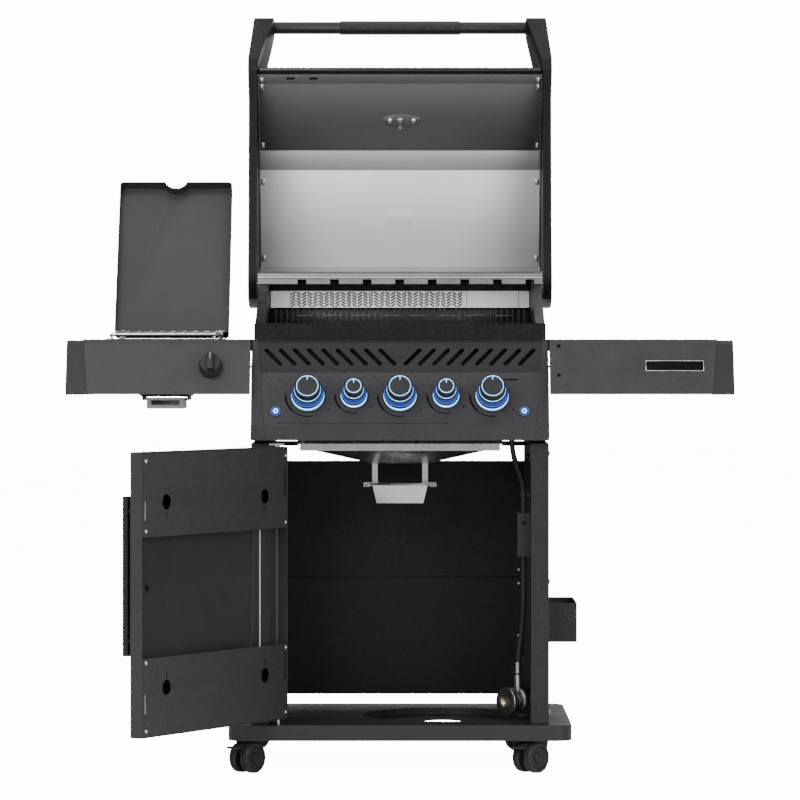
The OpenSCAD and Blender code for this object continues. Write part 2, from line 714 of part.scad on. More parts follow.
module temperature_gauge() color("#c9cbcd") opened_lid() at_gauge() {
    skin = lid_space + 2 * lid_sheet;
    translate([0, 0, skin + 0.1]) difference() {
        cylinder(h = 12, r = gauge_r, $fn = round_sides);
        translate([0, 0, 9]) cylinder(h = 4, r = gauge_r - 5, $fn = round_sides);
    }
    translate([0, 0, -46]) cylinder(h = skin + 46.1, r = gauge_rod_r);
}

module lid_end_outline() difference() {
    union() {
        polygon(lid_end_path);
        translate(hinge) circle(30);
    }
    translate(hinge) circle(lid_pin_r + run_fit);
}

// End castings with the arms that carry the handle
module lid_end_castings() color("#2b2d2f") opened_lid() both_sides() {
    x1 = lid_in + lid_end_t;
    difference() {
        union() {
            along_x(lid_in, x1) lid_end_outline();
            hull() {
                along_x(lid_in - 2, x1 + 2) polygon([
                    hinge + [-500, -80], hinge + [-470, -88], hinge + [-412, -8], hinge + [-430, 8]]);
                along_x(lid_in - 34, x1 - 8) polygon([
                    handle_at + [-16, -26], handle_at + [14, -30], handle_at + [22, 14], handle_at + [2, 24],
                    handle_at + [-20, 14]]);
            }
        }
        rod_x(lid_in - 40, lid_in - handle_end, handle_at[0], handle_at[1], handle_r);
        along_x(lid_in - 60, lid_in - e) polygon(concat(
            path_beside(lid_room, -60), backwards(path_beside(lid_room, lid_space + 2 * lid_sheet + 1.5))));
    }
}

// Tube between the arms and the sleeve that the hand holds
module lid_handle() color("#3b3d3f") opened_lid() {
    difference() {
        union() {
            rod_x(handle_end - lid_in, lid_in - handle_end, handle_at[0], handle_at[1], handle_r);
            rod_x(-grip_half, grip_half, handle_at[0], handle_at[1], handle_r + grip_wall);
        }
        rod_x(-lid_in, lid_in, handle_at[0], handle_at[1], handle_r - grip_wall);
    }
}

// ---- Control panel ----

// The wedge between the panel's sheet and an end cap, as an outline in [X, Z]
module cap_outline(gap) polygon([
    [panel_half_low + gap, panel_low[1] - 4], [panel_half_high + gap, panel_end[1] + 6],
    [cart_w, panel_end[1] + 6], [cart_w, panel_low[1] - 4],
]);

module control_panel() color("#3f4246") placed() difference() {
    along_x(-panel_half_high - 1, panel_half_high + 1) bent_sheet(panel_path, -panel_sheet);
    both_sides() along_y(panel_low[0] - 25, box_y + 10) cap_outline(0);
    for (x = knob_x) on_face(x, knob_up) translate([0, 0, -6]) cylinder(h = 12, r = 10);
    for (x = [-button_x, button_x])
        on_face(x, button_up) translate([0, 0, -6]) cylinder(h = 12, r = button_r + 1);
    for (s = [-1, 1], i = [0:8])
        on_vents(s * (26.5 + vent_pitch * i), vent_up) translate([0, 0, -5]) linear_extrude(10)
            rotate(s * vent_turn) slot_2d(vent_l - 2 * vent_r, vent_r);
}

// Rings round the knobs, which carry the lights, and round the two buttons
module knob_bezels() color("#101214") placed() {
    for (i = [0:4]) on_face(knob_x[i], knob_up) difference() {
        cylinder(h = bezel_h, r1 = knob_r[i] + 4, r2 = knob_r[i] + 2, $fn = round_sides);
        translate([0, 0, -1]) cylinder(h = bezel_h + 2, r = knob_r[i] - 6, $fn = round_sides);
    }
    for (x = [-button_x, button_x]) on_face(x, button_up) difference() {
        cylinder(h = 2.5, r = button_r + button_ring);
        translate([0, 0, -1]) cylinder(h = 5, r = button_r + run_fit);
    }
    on_fascia(side_knob_x, side_knob_up) difference() {
        cylinder(h = 2, r = 25);
        translate([0, 0, -1]) cylinder(h = 5, r = 10);
    }
}

module panel_cap_block() {
    solid = [panel_low, panel_fold, panel_crease, panel_head, panel_end, [panel_end[0], panel_low[1]]];
    inner = [panel_low + [3, 3], panel_fold + [3, 0], panel_crease + [3, -2], panel_head + [2, -3],
             panel_end + [-3, -3], [panel_end[0] - 3, panel_low[1] + 3]];
    intersection() {
        difference() {
            along_x(panel_half_low, cart_w / 2) polygon(solid);
            along_x(panel_half_low - 1, cart_w / 2 - side_sheet) polygon(inner);
        }
        along_y(panel_low[0] - 25, box_y + 10) cap_outline(seam);
    }
}

// What lies past the slanted joint between a side shelf and its end cap, as an outline in [X, Z]
module shelf_end(gap) polygon([
    [shelf_out - cap_w_low - gap, fascia_low[1] - 3], [shelf_out - cap_w_top - gap, shelf_z + 3],
    [shelf_out + 5, shelf_z + 3], [shelf_out + 5, fascia_low[1] - 3],
]);

// Moulded ends of a side shelf, thinner at the top than at the bottom
module shelf_cap_block() {
    outline = [fascia_low, fascia_top, fascia_top + [8, 7], [shelf_back, shelf_z - 1],
               [shelf_back, fascia_low[1]]];
    intersection() {
        difference() {
            translate([0, 0, -1]) along_x(shelf_out - cap_w_low, shelf_out)
                offset(r = cap_wall) offset(delta = -cap_wall) polygon(outline);
            translate([0, 0, -1]) along_x(shelf_out - cap_w_low - 1, shelf_out - cap_wall)
                offset(delta = -cap_wall) polygon(outline);
        }
        along_y(-40, shelf_back + 10) shelf_end(0);
    }
}

module end_caps() color("#2f3133") placed() both_sides() {
    panel_cap_block();
    shelf_cap_block();
}

// ---- Side shelves ----

module shelf_top_sheet() {
    x1 = shelf_out - cap_w_top;
    y0 = fascia_top[0] + 2;
    difference() {
        block([shelf_in, x1], [y0, shelf_back], [shelf_z - skirt_h, shelf_z]);
        block([shelf_in - e, x1 + e], [y0 + shelf_sheet, shelf_back - shelf_sheet],
              [shelf_z - skirt_h - e, shelf_z - shelf_sheet]);
        along_y(-40, shelf_back + 10) shelf_end(seam);
    }
}

module shelf_tops() color("#3d3f41") placed() {
    shelf_top_sheet();
    mirror([1, 0, 0]) difference() {
        shelf_top_sheet();
        translate([0, 0, shelf_z - 10]) linear_extrude(20)
            round_rect([-side_x - well_w / 2, -side_x + well_w / 2], [well_y0, well_y1], 12);
    }
    // Brackets that carry the shelves on the firebox's end walls
    low = shelf_z - bracket_drop;
    out = shelf_in + bracket_out;
    both_sides() for (y = bracket_y) {
        block([box_w / 2, out], [y, y + bracket_w], [low, low + bracket_sheet]);
        block([box_w / 2, box_w / 2 + bracket_sheet], [y, y + bracket_w], [low, shelf_z - 2]);
        block([out - bracket_sheet, out], [y, y + bracket_w], [low, shelf_z - shelf_sheet]);
    }
}

module fascia_sheet() difference() {
    along_x(shelf_in, shelf_out - cap_w_top)
        bent_sheet([fascia_low + [22, 0], fascia_low, fascia_top], -shelf_sheet);
    along_y(-40, 60) shelf_end(seam);
}

// Sloping fronts of the shelves; the left one has the hole for the side burner's valve
module shelf_fascias() color("#4b4e51") placed() {
    fascia_sheet();
    difference() {
        mirror([1, 0, 0]) fascia_sheet();
        on_fascia(side_knob_x, side_knob_up) translate([0, 0, -6]) cylinder(h = 12, r = 10);
    }
}

// The side burner's well, drawn in by t
module well(t, z) block([side_x - well_w / 2 + t, side_x + well_w / 2 - t], [well_y0 + t, well_y1 - t], z);

module bowl(grow) hull() {
    well(well_gap - grow, [well_low, well_low + 0.4]);
    block([side_x - 52 - grow, side_x + 52 + grow], [well_mid - 60 - grow, well_mid + 60 + grow],
          [bowl_z, bowl_z + 0.4]);
}

// Bowl, ceramic burner and the two rails of its drip tray
module side_burner() color("#2a2c2e") placed() {
    inside = well_gap + well_wall;
    difference() {
        union() {
            well(well_gap, [well_low, shelf_z + 1]);
            bowl(0);
        }
        well(inside, [well_low + 0.2, shelf_z + 2]);
        translate([0, 0, 1.4]) bowl(-1.2);
        translate([side_x, well_mid, bowl_z - 6]) cylinder(h = 12, r = 20);
    }
    // Flange on the shelf
    difference() {
        well(-7, [shelf_z + e, shelf_z + well_wall]);
        well(inside, [shelf_z - 2, shelf_z + 3]);
        well(well_gap - e, [shelf_z - 2, shelf_z + 1 + e]);
    }
    // Ceramic burner on its box
    block([side_x - 80, side_x + 80], [well_mid - 90, well_mid + 90], [shelf_z - 54, shelf_z - 22]);
    for (x = [side_x - 70, side_x + 66])
        block([x, x + 4], [well_mid - 20, well_mid + 20], [well_low + 1.7, shelf_z - 54]);
    for (s = [-1, 1])
        difference() {
            block([side_x + s * 46 - 4, side_x + s * 46 + 4], [well_mid - 60, well_mid + 60],
                  [tray_z + tray_h - 4, bowl_z]);
            block([side_x - 47, side_x + 47], [well_mid - 61, well_mid + 61],
                  [tray_z + tray_h - 2, tray_z + tray_h + 2.5]);
        }
}

module side_drip_tray() color("#cbccce") placed() {
    top = tray_z + tray_h;
    difference() {
        union() {
            block([side_x - 40, side_x + 40], [well_mid - 64, well_mid + 60], [tray_z, top]);
            block([side_x - 46, side_x + 46], [well_mid - 60, well_mid + 60], [top - 1, top]);
        }
        block([side_x - 39, side_x + 39], [well_mid - 63, well_mid + 59], [tray_z + 1, top + 2]);
        block([side_x - 30, side_x + 30], [well_mid - 66, well_mid - 62], [tray_z + 8, tray_z + 18]);
    }
}

// Chromed rod grate with four feet
module side_burner_grate() color("#d9dadc") placed() {
    half = 112;
    y = [well_y0 + 14, well_y1 - 14];
    for (yy = y) rod_x(side_x - half, side_x + half, yy, shelf_z + 10, 3.5);
    for (i = [0:8]) rod_y(y[0] - 3, y[1] + 3, side_x - 96 + 24 * i, shelf_z + 15.5, 3);
    for (x = [side_x - half + 4, side_x + half - 4]) {
        rod_y(y[0], y[1], x, shelf_z + 10, 3.5);
        for (yy = [y[0] + 4, y[1] - 4])
            translate([x, yy, shelf_z + 1.6]) cylinder(h = 8, r = 3.5);
    }
}

// Flat cover with a turned-down rim and a finger notch in its front edge
module side_burner_lid() color("#4a4d4f") opened_side_lid() {
    y1 = side_lid_hinge[0] + 8;
    y0 = y1 - side_lid_l;
    x = [side_x - side_lid_w / 2, side_x + side_lid_w / 2];
    low = shelf_z + 3;
    top = shelf_z + 30;
    wall = side_lid_sheet;
    notch_r = 26;
    difference() {
        union() {
            difference() {
                translate([0, 0, low]) linear_extrude(top - low) difference() {
                    round_rect(x, [y0, y1], 8);
                    translate([side_x, y0 - 9]) circle(notch_r);
                }
                translate([0, 0, low - e]) linear_extrude(top - low - wall + e) difference() {
                    round_rect(x + [wall, -wall], [y0 + wall, y1 - wall], 8 - wall);
                    translate([side_x, y0 - 9]) circle(notch_r + wall);
                }
            }
            for (xx = [x[0] + 1, x[1] - 9])
                rod_x(xx, xx + 8, side_lid_hinge[0], side_lid_hinge[1], side_pin_r + 2);
        }
        rod_x(x[0] - 5, x[1] + 5, side_lid_hinge[0], side_lid_hinge[1], side_pin_r + run_fit);
        block([x[0] + 14, x[1] - 14], [y1 - 3, y1 + 1], [shelf_z, shelf_z + 16]);
        for (s = [-1, 1]) let (xm = side_x + s * (side_lid_w / 2 - 18))
            block([xm - 6, xm + 6], [y1 - 3, y1 + 1], [shelf_z, top - wall]);
    }
}

module side_caddy() color("#1f2021") placed() {
    x0 = cart_w / 2;
    difference() {
        block([x0, x0 + caddy_out], caddy_y, caddy_z);
        block([x0 + caddy_sheet, x0 + caddy_out - caddy_sheet], caddy_y + [caddy_sheet, -caddy_sheet],
              caddy_z + [caddy_sheet, 1]);
    }
}

// ---- Door ----

// Plan of the door, drawn in from its outer faces by t
module door_plan(t, back) {
    x = [-door_w / 2 + t, door_w / 2 - t];
    bevel = door_bevel - (2 - sqrt(2)) * t;
    polygon([
        [x[0] + bevel, door_y + t], [x[1], door_y + t], [x[1], back], [x[0], back], [x[0], door_y + t + bevel],
    ]);
}

module door_skin() color("#303234") opened_door() {
    step_x = [-door_w / 2 + door_step[0], -door_w / 2 + door_step[1]];
    step_z = [door_z0 + 8, door_z1 - 8];
    lining = [-door_sheet, door_sheet];
    difference() {
        translate([0, 0, door_z0]) linear_extrude(door_z1 - door_z0) door_plan(0, door_y + door_t);
        translate([0, 0, door_z0 + door_sheet]) linear_extrude(door_z1 - door_z0 - 2 * door_sheet)
            door_plan(door_sheet, door_y + door_t + e);
        block(step_x, [door_y - 1, door_y + door_step_d], step_z);
        translate([pivot[0], pivot[1], 0]) cylinder(h = frame_top, r = door_pin_r + run_fit);
    }
    difference() {
        block(step_x + lining, [door_y + door_sheet - e, door_y + door_step_d + door_sheet], step_z + lining);
        block(step_x, [door_y - 1, door_y + door_step_d], step_z);
    }
}

module keyhole(x, z, up) {
    translate([x, z]) circle(keyhole_r);
    translate([x - 1.8, z + up * 26 - 7]) square([3.6, 14]);
}

// A shallow tray between the door's sides, with two keyholes and two upright slots
module cross_plate(z, hole_z, up, slot_z) difference() {
    x = [-door_w / 2 + door_sheet + 0.3, door_w / 2 - door_sheet - 0.3];
    y1 = door_y + door_t;
    block(x, [y1 - plate_d, y1], z);
    block(x + [plate_t, -plate_t], [y1 - plate_d - e, y1 - plate_t], z + [-e, e]);
    along_y(y1 - 3, y1 + 1) {
        for (s = [-1, 1]) keyhole(s * (door_w / 2 - keyhole_side), hole_z, up);
        translate([x[1] - 14, slot_z[0]]) square([5, 45]);
        translate([x[0] + 6, slot_z[1]]) square([5, 57]);
    }
}

// The two cross plates that close the back of the door
module door_inner_plates() color("#35373a") opened_door() {
    cross_plate([door_z1 - plate_top_h, door_z1 - 2], door_z1 - 101.5, -1, [door_z1 - 139, door_z1 - 104]);
    cross_plate([door_z0 + 2, door_z0 + plate_low_h], door_z0 + 97, 1, [door_z0 + 46, door_z0 + 82]);
}

module door_handle() color("#4c4f52") opened_door() {
    x = door_w / 2 - 40;
    z = [door_z1 - 380, door_z1 - 120];
    for (zz = z) rod_y(door_y - 30, door_y, x, zz, handle_bolt_r);
    difference() {
        block([x - 9, x + 9], [door_y - 40, door_y - 28], z + [-30, 30]);
        for (zz = z) rod_y(door_y - 30, door_y, x, zz, handle_bolt_r);
    }
}

// ---- Knobs and buttons ----

// Bore in a knob's back for its stem, with 0.5 mm left over the stem's end
module stem_seat(below)
    translate([0, 0, knob_lift - below])
        cylinder(h = stem_top + knob_travel + 0.5 + below - knob_lift, r = stem_r + run_fit);

module round_knob(r) difference() {
    rotate_extrude($fn = round_sides) polygon([
        [0, knob_lift], [r, knob_lift], [r, knob_lift + 8], [r - 3, knob_lift + 11], [r - 4, knob_lift + 24],
        [r - 7, knob_lift + 27], [r - 7, knob_top - 3], [r - 9, knob_top], [0, knob_top],
    ]);
    stem_seat(1);
}

module knob(i) color("#2a2c2f") placed() on_face(knob_x[i], knob_up) round_knob(knob_r[i]);

module valve_stem() {
    translate([0, 0, stem_root]) cylinder(h = stem_top - stem_root, r = stem_r);
}

module stem(i) color("#b9a46a") placed() on_face(knob_x[i], knob_up) valve_stem();

// Barrel knob with a flat crest across its face
module side_knob() color("#3c3e41") placed() on_fascia(side_knob_x, side_knob_up) difference() {
    union() {
        translate([0, 0, knob_lift - 3]) cylinder(h = 10, r = 24);
        translate([0, 0, knob_lift + 6]) cylinder(h = 30, r1 = 23.5, r2 = 21, $fn = round_sides);
    }
    for (s = [-1, 1]) translate([s * 22 - 9, -30, knob_lift + 18]) cube([18, 60, 40]);
    stem_seat(5);
}

module side_stem() color("#b9a46a") placed() on_fascia(side_knob_x, side_knob_up) valve_stem();

module push_button(x) color("#8fc7ef") placed() on_face(x, button_up)
    translate([0, 0, -8]) cylinder(h = 12.5, r = button_r);

// ---- Casters ----

// Local X trails behind the swivel, local Y is the axle
module at_swivel(i) at_caster(i) rotate([0, 0, 180 - caster_turn[i]]) children();

module caster_fork(i, braked) color("#26282b") placed() at_swivel(i) {
    half = wheel_gap / 2 - 1;
    difference() {
        union() {
            translate([0, 0, boss_z - 18]) cylinder(h = base_top - base_sheet + 14.5 - boss_z, r = swivel_r);
            translate([0, 0, boss_z - 12.5]) cylinder(h = 11.5, r = 18);
            rotate([90, 0, 0]) translate([0, 0, -half]) linear_extrude(2 * half) polygon([
                [-14, 66], [-10, 40], [caster_trail - 12, 22], [caster_trail + 9, 22],
                [caster_trail + 24, 50], [caster_trail + 20, 62], [12, 70]]);
        }
        translate([caster_trail, 0, wheel_r]) rotate([90, 0, 0])
            cylinder(h = 60, r = axle_r + run_fit, center = true);
        if (braked) {
            translate([pedal_at[0] - 7, -3.2, pedal_at[1] - 8]) cube([60, 6.4, 40]);
            translate([pedal_at[0], 0, pedal_at[1]]) rotate([90, 0, 0])
                cylinder(h = 60, r = pedal_r + run_fit, center = true, $fn = small_sides);
        }
    }
}

module wheels(i) color("#3a3c3f") placed() at_swivel(i)
    translate([caster_trail, 0, wheel_r]) rotate([90, 0, 0]) {
        for (s = [0, 1]) mirror([0, 0, s]) translate([0, 0, wheel_gap / 2])
            rotate_extrude($fn = round_sides) polygon([
                [axle_r, 0], [wheel_r - 1, 0], [wheel_r, 1], [wheel_r, wheel_w - 5],
                [wheel_r - 4, wheel_w - 1], [wheel_r - 8, wheel_w], [12, wheel_w], [11, wheel_w - 1.5],
                [axle_r, wheel_w - 1.5]]);
        cylinder(h = wheel_gap + 2 * wheel_w - 3, r = axle_r, center = true);
    }

module brake_pedal(i) color("#1a1b1d") placed() at_swivel(i) {
    translate([pedal_at[0], 0, pedal_at[1]]) rotate([90, 0, 0]) {
        cylinder(h = wheel_gap - 2, r = pedal_r, center = true, $fn = small_sides);
        translate([0, 0, -3]) linear_extrude(6) polygon([[-5, -4], [5, -5], [20, -2], [20, 4], [-5, 6]]);
    }
    translate([pedal_at[0] + 17.5, -14, pedal_at[1] - 3]) cube([16, 28, 4]);
}

base_shelf();
caster_plates();
side_frames();
back_panels();
cabinet_brackets();
hinge_pins();
firebox();
sear_plates();
main_burners();
rear_burner();
gas_manifold();
gas_hose();
regulator();
coupling_nut();
control_panel();
knob_bezels();
end_caps();
shelf_tops();
shelf_fascias();
side_burner();
side_caddy();
cooking_grids();
warming_rack();
grease_pan();
drip_tray();
side_burner_grate();
side_drip_tray();
lid_shell();
lid_liner();
lid_end_castings();
lid_handle();
temperature_gauge();
side_burner_lid();
door_skin();
door_inner_plates();
door_handle();
knob(0);  // knob_1
knob(1);  // knob_2
knob(2);  // knob_3
knob(3);  // knob_4
knob(4);  // knob_5
side_knob();
stem(0);  // stem_1
stem(1);  // stem_2
stem(2);  // stem_3
stem(3);  // stem_4
stem(4);  // stem_5
side_stem();
push_button(-button_x);  // light_button
push_button(button_x);  // igniter_button
caster_fork(0, true);  // caster_fork_front_left
caster_fork(1, true);  // caster_fork_front_right
caster_fork(2, false);  // caster_fork_rear_left
caster_fork(3, false);  // caster_fork_rear_right
wheels(0);  // wheels_front_left
wheels(1);  // wheels_front_right
wheels(2);  // wheels_rear_left
wheels(3);  // wheels_rear_right
brake_pedal(0);  // brake_pedal_left
brake_pedal(1);  // brake_pedal_right
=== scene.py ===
import json
import logging
import math
from dataclasses import dataclass, field
from enum import Enum
from typing import Callable, Dict, List, Optional, Sequence, Tuple

import bpy
from mathutils import Matrix, Vector

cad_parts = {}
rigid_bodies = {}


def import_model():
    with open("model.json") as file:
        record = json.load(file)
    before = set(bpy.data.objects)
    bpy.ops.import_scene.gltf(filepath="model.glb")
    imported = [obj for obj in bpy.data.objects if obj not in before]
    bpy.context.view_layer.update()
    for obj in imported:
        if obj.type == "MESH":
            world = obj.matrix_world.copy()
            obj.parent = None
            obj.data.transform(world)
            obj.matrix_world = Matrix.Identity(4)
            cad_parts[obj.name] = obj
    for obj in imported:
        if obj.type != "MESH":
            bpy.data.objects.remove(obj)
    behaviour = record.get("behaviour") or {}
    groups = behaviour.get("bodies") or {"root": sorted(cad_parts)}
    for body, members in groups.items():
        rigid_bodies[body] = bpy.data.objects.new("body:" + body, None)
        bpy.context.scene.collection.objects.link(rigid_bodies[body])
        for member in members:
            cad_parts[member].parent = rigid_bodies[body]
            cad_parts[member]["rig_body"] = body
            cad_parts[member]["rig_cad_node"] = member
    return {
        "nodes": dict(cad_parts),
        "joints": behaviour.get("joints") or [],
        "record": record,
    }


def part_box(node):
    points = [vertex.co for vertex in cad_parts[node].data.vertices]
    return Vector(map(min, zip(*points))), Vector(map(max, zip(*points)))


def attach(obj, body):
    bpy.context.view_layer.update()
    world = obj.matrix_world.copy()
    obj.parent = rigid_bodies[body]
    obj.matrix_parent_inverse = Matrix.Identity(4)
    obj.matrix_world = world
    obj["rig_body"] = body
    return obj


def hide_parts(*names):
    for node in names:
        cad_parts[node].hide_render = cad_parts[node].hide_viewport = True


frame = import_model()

LOG = logging.getLogger("grill")
Point = Tuple[float, float, float]
Colour = Tuple[float, float, float]
Ring = Tuple[float, float]
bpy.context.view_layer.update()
# A millimetre, the distance under which two points are one, and how far a side's normal may lean along Z.
MM = 0.001
WELD = 1e-6
SIDE_ON = 0.3
CORNERS = ("front_left", "front_right", "rear_left", "rear_right")
KNOBS = range(1, 6)


# ---- Finishes ----------------------------------------------------------------------------------

class Grain(Enum):
    """How the surface of a finish is worked."""

    POWDER = "orange peel of a powder coat"
    BRUSHED = "long scratches along X"
    CAST = "rough casting"
    MOULDED = "fine spark-eroded texture"
    SMOOTH = "polished"


@dataclass(frozen=True)
class Finish:
    """A surface finish, from which one material is made.

    Attributes:
        title: Name of the material.
        colour: Linear base colour.
        roughness: Middle roughness.
        metallic: 1 for bare metal, 0 for paint and plastic.
        grain: How the surface is worked.
        scale: Size of the grain, in repeats per metre.
        bump: Height of the grain, in metres.
        wear: How far bare edges show, from 0 to 1.
        worn: Colour of a bare edge.
        coat: Weight of a clear coat.
        shine: Strength of the surface's own reflection.
        variation: How much the colour drifts over the surface.
        shade: Painted shade: height above which it is darker, and the share of its colour that is left there.
        glow: Colour of the light it gives off, if it does.
        glow_strength: Strength of that light.
    """

    title: str
    colour: Colour
    roughness: float
    metallic: float = 0.0
    grain: Grain = Grain.POWDER
    scale: float = 900.0
    bump: float = 0.00012
    wear: float = 0.15
    worn: Colour = (0.25, 0.25, 0.25)
    coat: float = 0.0
    shine: float = 0.32
    variation: float = 0.08
    shade: Optional[Ring] = None
    glow: Optional[Colour] = None
    glow_strength: float = 0.0


def added(nodes: bpy.types.Nodes, kind: str, values: Optional[Dict] = None,
          operation: Optional[str] = None) -> bpy.types.Node:
    """Adds a shader node and sets its inputs.

    Args:
        nodes: The tree's nodes.
        kind: Its type, without the prefix.
        values: Value of each input, by name or number.
        operation: What it works out, for a maths node.

    Returns:
        The node.
    """
    node = nodes.new("ShaderNode" + kind)
    if operation is not None:
        node.operation = operation
    for key, value in (values or {}).items():
        node.inputs[key].default_value = value
    return node


class Surfaces:
    """Builds the shared node groups once, and a material for each finish."""

    def __init__(self) -> None:
        """Makes the node groups."""
        self.made: Dict[str, bpy.types.Material] = {}
        self.drift = self._drift_group()
        self.edges = self._edge_group()
        self.grains = {
            Grain.POWDER: self._noise_group("powder_grain", (1.0, 1.0, 1.0), 3.0),
            Grain.BRUSHED: self._noise_group("brushed_grain", (0.012, 1.0, 1.0), 4.0),
            Grain.CAST: self._noise_group("cast_grain", (1.0, 1.0, 1.0), 6.0),
            Grain.MOULDED: self._noise_group("moulded_grain", (1.0, 1.0, 1.0), 1.0),
            Grain.SMOOTH: self._noise_group("smooth_grain", (0.3, 0.3, 0.3), 1.0),
        }

    @staticmethod
    def _group(title: str, inputs: Sequence[Tuple[str, str]], outputs: Sequence[Tuple[str, str]]):
        """Starts a node group with named sockets.

        Args:
            title: Name of the group.
            inputs: Name and type of each input.
            outputs: Name and type of each output.

        Returns:
            The group, its input node and its output node.
        """
        group = bpy.data.node_groups.new(title, "ShaderNodeTree")
        for name, kind in inputs:
            group.interface.new_socket(name, in_out="INPUT", socket_type=kind)
        for name, kind in outputs:
            group.interface.new_socket(name, in_out="OUTPUT", socket_type=kind)
        return group, group.nodes.new("NodeGroupInput"), group.nodes.new("NodeGroupOutput")

    def _drift_group(self) -> bpy.types.NodeTree:
        """Slow drift of colour and roughness, with faint smudges.

        Returns:
            The group, which puts out a colour and a roughness.
        """
        group, start, end = self._group(
            "surface_drift",
            [("Vector", "NodeSocketVector"), ("Colour", "NodeSocketColor"), ("Amount", "NodeSocketFloat"),
             ("Roughness", "NodeSocketFloat")],
            [("Colour", "NodeSocketColor"), ("Roughness", "NodeSocketFloat")])
        nodes, link = group.nodes, group.links.new
        slow = added(nodes, "TexNoise", {"Scale": 5.0, "Detail": 6.0})
        smudge = added(nodes, "TexNoise", {"Scale": 22.0, "Detail": 5.0})
        link(start.outputs["Vector"], slow.inputs["Vector"])
        link(start.outputs["Vector"], smudge.inputs["Vector"])
        centre = added(nodes, "Math", {1: 0.5}, "SUBTRACT")
        link(slow.outputs["Fac"], centre.inputs[0])
        share = added(nodes, "Math", {2: 1.0}, "MULTIPLY_ADD")
        link(centre.outputs[0], share.inputs[0])
        link(start.outputs["Amount"], share.inputs[1])
        tint = added(nodes, "VectorMath", operation="SCALE")
        link(start.outputs["Colour"], tint.inputs[0])
        link(share.outputs[0], tint.inputs["Scale"])
        link(tint.outputs[0], end.inputs["Colour"])
        spread = added(nodes, "MapRange", {"From Min": 0.3, "From Max": 0.7, "To Min": -0.05, "To Max": 0.06})
        link(smudge.outputs["Fac"], spread.inputs["Value"])
        total = added(nodes, "Math", operation="ADD")
        total.use_clamp = True
        link(start.outputs["Roughness"], total.inputs[0])
        link(spread.outputs["Result"], total.inputs[1])
        link(total.outputs[0], end.inputs["Roughness"])
        return group

    def _edge_group(self) -> bpy.types.NodeTree:
        """Wear along convex edges, broken up by noise.

        Returns:
            The group, which puts out a colour and a mask.
        """
        group, start, end = self._group(
            "edge_wear",
            [("Vector", "NodeSocketVector"), ("Colour", "NodeSocketColor"), ("Bare", "NodeSocketColor"),
             ("Amount", "NodeSocketFloat")],
            [("Colour", "NodeSocketColor"), ("Mask", "NodeSocketFloat")])
        nodes, link = group.nodes, group.links.new
        geometry = added(nodes, "NewGeometry")
        ridge = added(nodes, "MapRange", {"From Min": 0.53, "From Max": 0.62})
        link(geometry.outputs["Pointiness"], ridge.inputs["Value"])
        chips = added(nodes, "TexNoise", {"Scale": 160.0, "Detail": 5.0})
        link(start.outputs["Vector"], chips.inputs["Vector"])
        broken = added(nodes, "MapRange", {"From Min": 0.4, "From Max": 0.65})
        link(chips.outputs["Fac"], broken.inputs["Value"])
        both = added(nodes, "Math", operation="MULTIPLY")
        link(ridge.outputs["Result"], both.inputs[0])
        link(broken.outputs["Result"], both.inputs[1])
        share = added(nodes, "Math", operation="MULTIPLY")
        link(both.outputs[0], share.inputs[0])
        link(start.outputs["Amount"], share.inputs[1])
        mix = nodes.new("ShaderNodeMix")
        mix.data_type = "RGBA"
        link(share.outputs[0], mix.inputs["Factor"])
        link(start.outputs["Colour"], mix.inputs["A"])
        link(start.outputs["Bare"], mix.inputs["B"])
        link(mix.outputs["Result"], end.inputs["Colour"])
        link(share.outputs[0], end.inputs["Mask"])
        return group

    def _noise_group(self, title: str, stretch: Point, detail: float) -> bpy.types.NodeTree:
        """Grain of a worked surface.

        Args:
            title: Name of the group.
            stretch: How dense the grain is along each axis.
            detail: Octaves of the noise.

        Returns:
            The group, which puts out a height from 0 to 1.
        """
        group, start, end = self._group(title,
                                        [("Vector", "NodeSocketVector"), ("Scale", "NodeSocketFloat")],
                                        [("Height", "NodeSocketFloat")])
        nodes, link = group.nodes, group.links.new
        drawn = added(nodes, "VectorMath", {1: stretch}, "MULTIPLY")
        noise = added(nodes, "TexNoise", {"Detail": detail})
        link(start.outputs["Vector"], drawn.inputs[0])
        link(drawn.outputs[0], noise.inputs["Vector"])
        link(start.outputs["Scale"], noise.inputs["Scale"])
        link(noise.outputs["Fac"], end.inputs["Height"])
        return group

    def material(self, finish: Finish) -> bpy.types.Material:
        """Gives the material of a finish, made on first use.

        Args:
            finish: The finish.

        Returns:
            Its material.
        """
        if finish.title in self.made:
            return self.made[finish.title]
        material = bpy.data.materials.new(finish.title)
        material.use_nodes = True
        material.diffuse_color = (*finish.colour, 1.0)
        tree = material.node_tree
        nodes, link = tree.nodes, tree.links.new
        shader = nodes["Principled BSDF"]
        for key, value in (("Metallic", finish.metallic), ("Coat Weight", finish.coat),
                           ("Coat Roughness", 0.12), ("Specular IOR Level", finish.shine)):
            shader.inputs[key].default_value = value
        place = added(nodes, "TexCoord")
        drift = self._placed(nodes, self.drift)
        drift.inputs["Colour"].default_value = (*finish.colour, 1.0)
        drift.inputs["Amount"].default_value = finish.variation
        drift.inputs["Roughness"].default_value = finish.roughness
        link(place.outputs["Object"], drift.inputs["Vector"])
        edges = self._placed(nodes, self.edges)
        edges.inputs["Bare"].default_value = (*finish.worn, 1.0)
        edges.inputs["Amount"].default_value = finish.wear
        link(place.outputs["Object"], edges.inputs["Vector"])
        if finish.shade is None:
            link(drift.outputs["Colour"], edges.inputs["Colour"])
        else:
            # Painted shade: above the given height the colour is darkened, for a facet that catches less
            # light.
            height, left = finish.shade
            parts = added(nodes, "SeparateXYZ")
            step = added(nodes, "MapRange", {"From Min": height - MM, "From Max": height + MM,
                                             "To Min": 1.0, "To Max": left})
            darker = added(nodes, "VectorMath", operation="SCALE")
            link(place.outputs["Object"], parts.inputs["Vector"])
            link(parts.outputs["Z"], step.inputs["Value"])
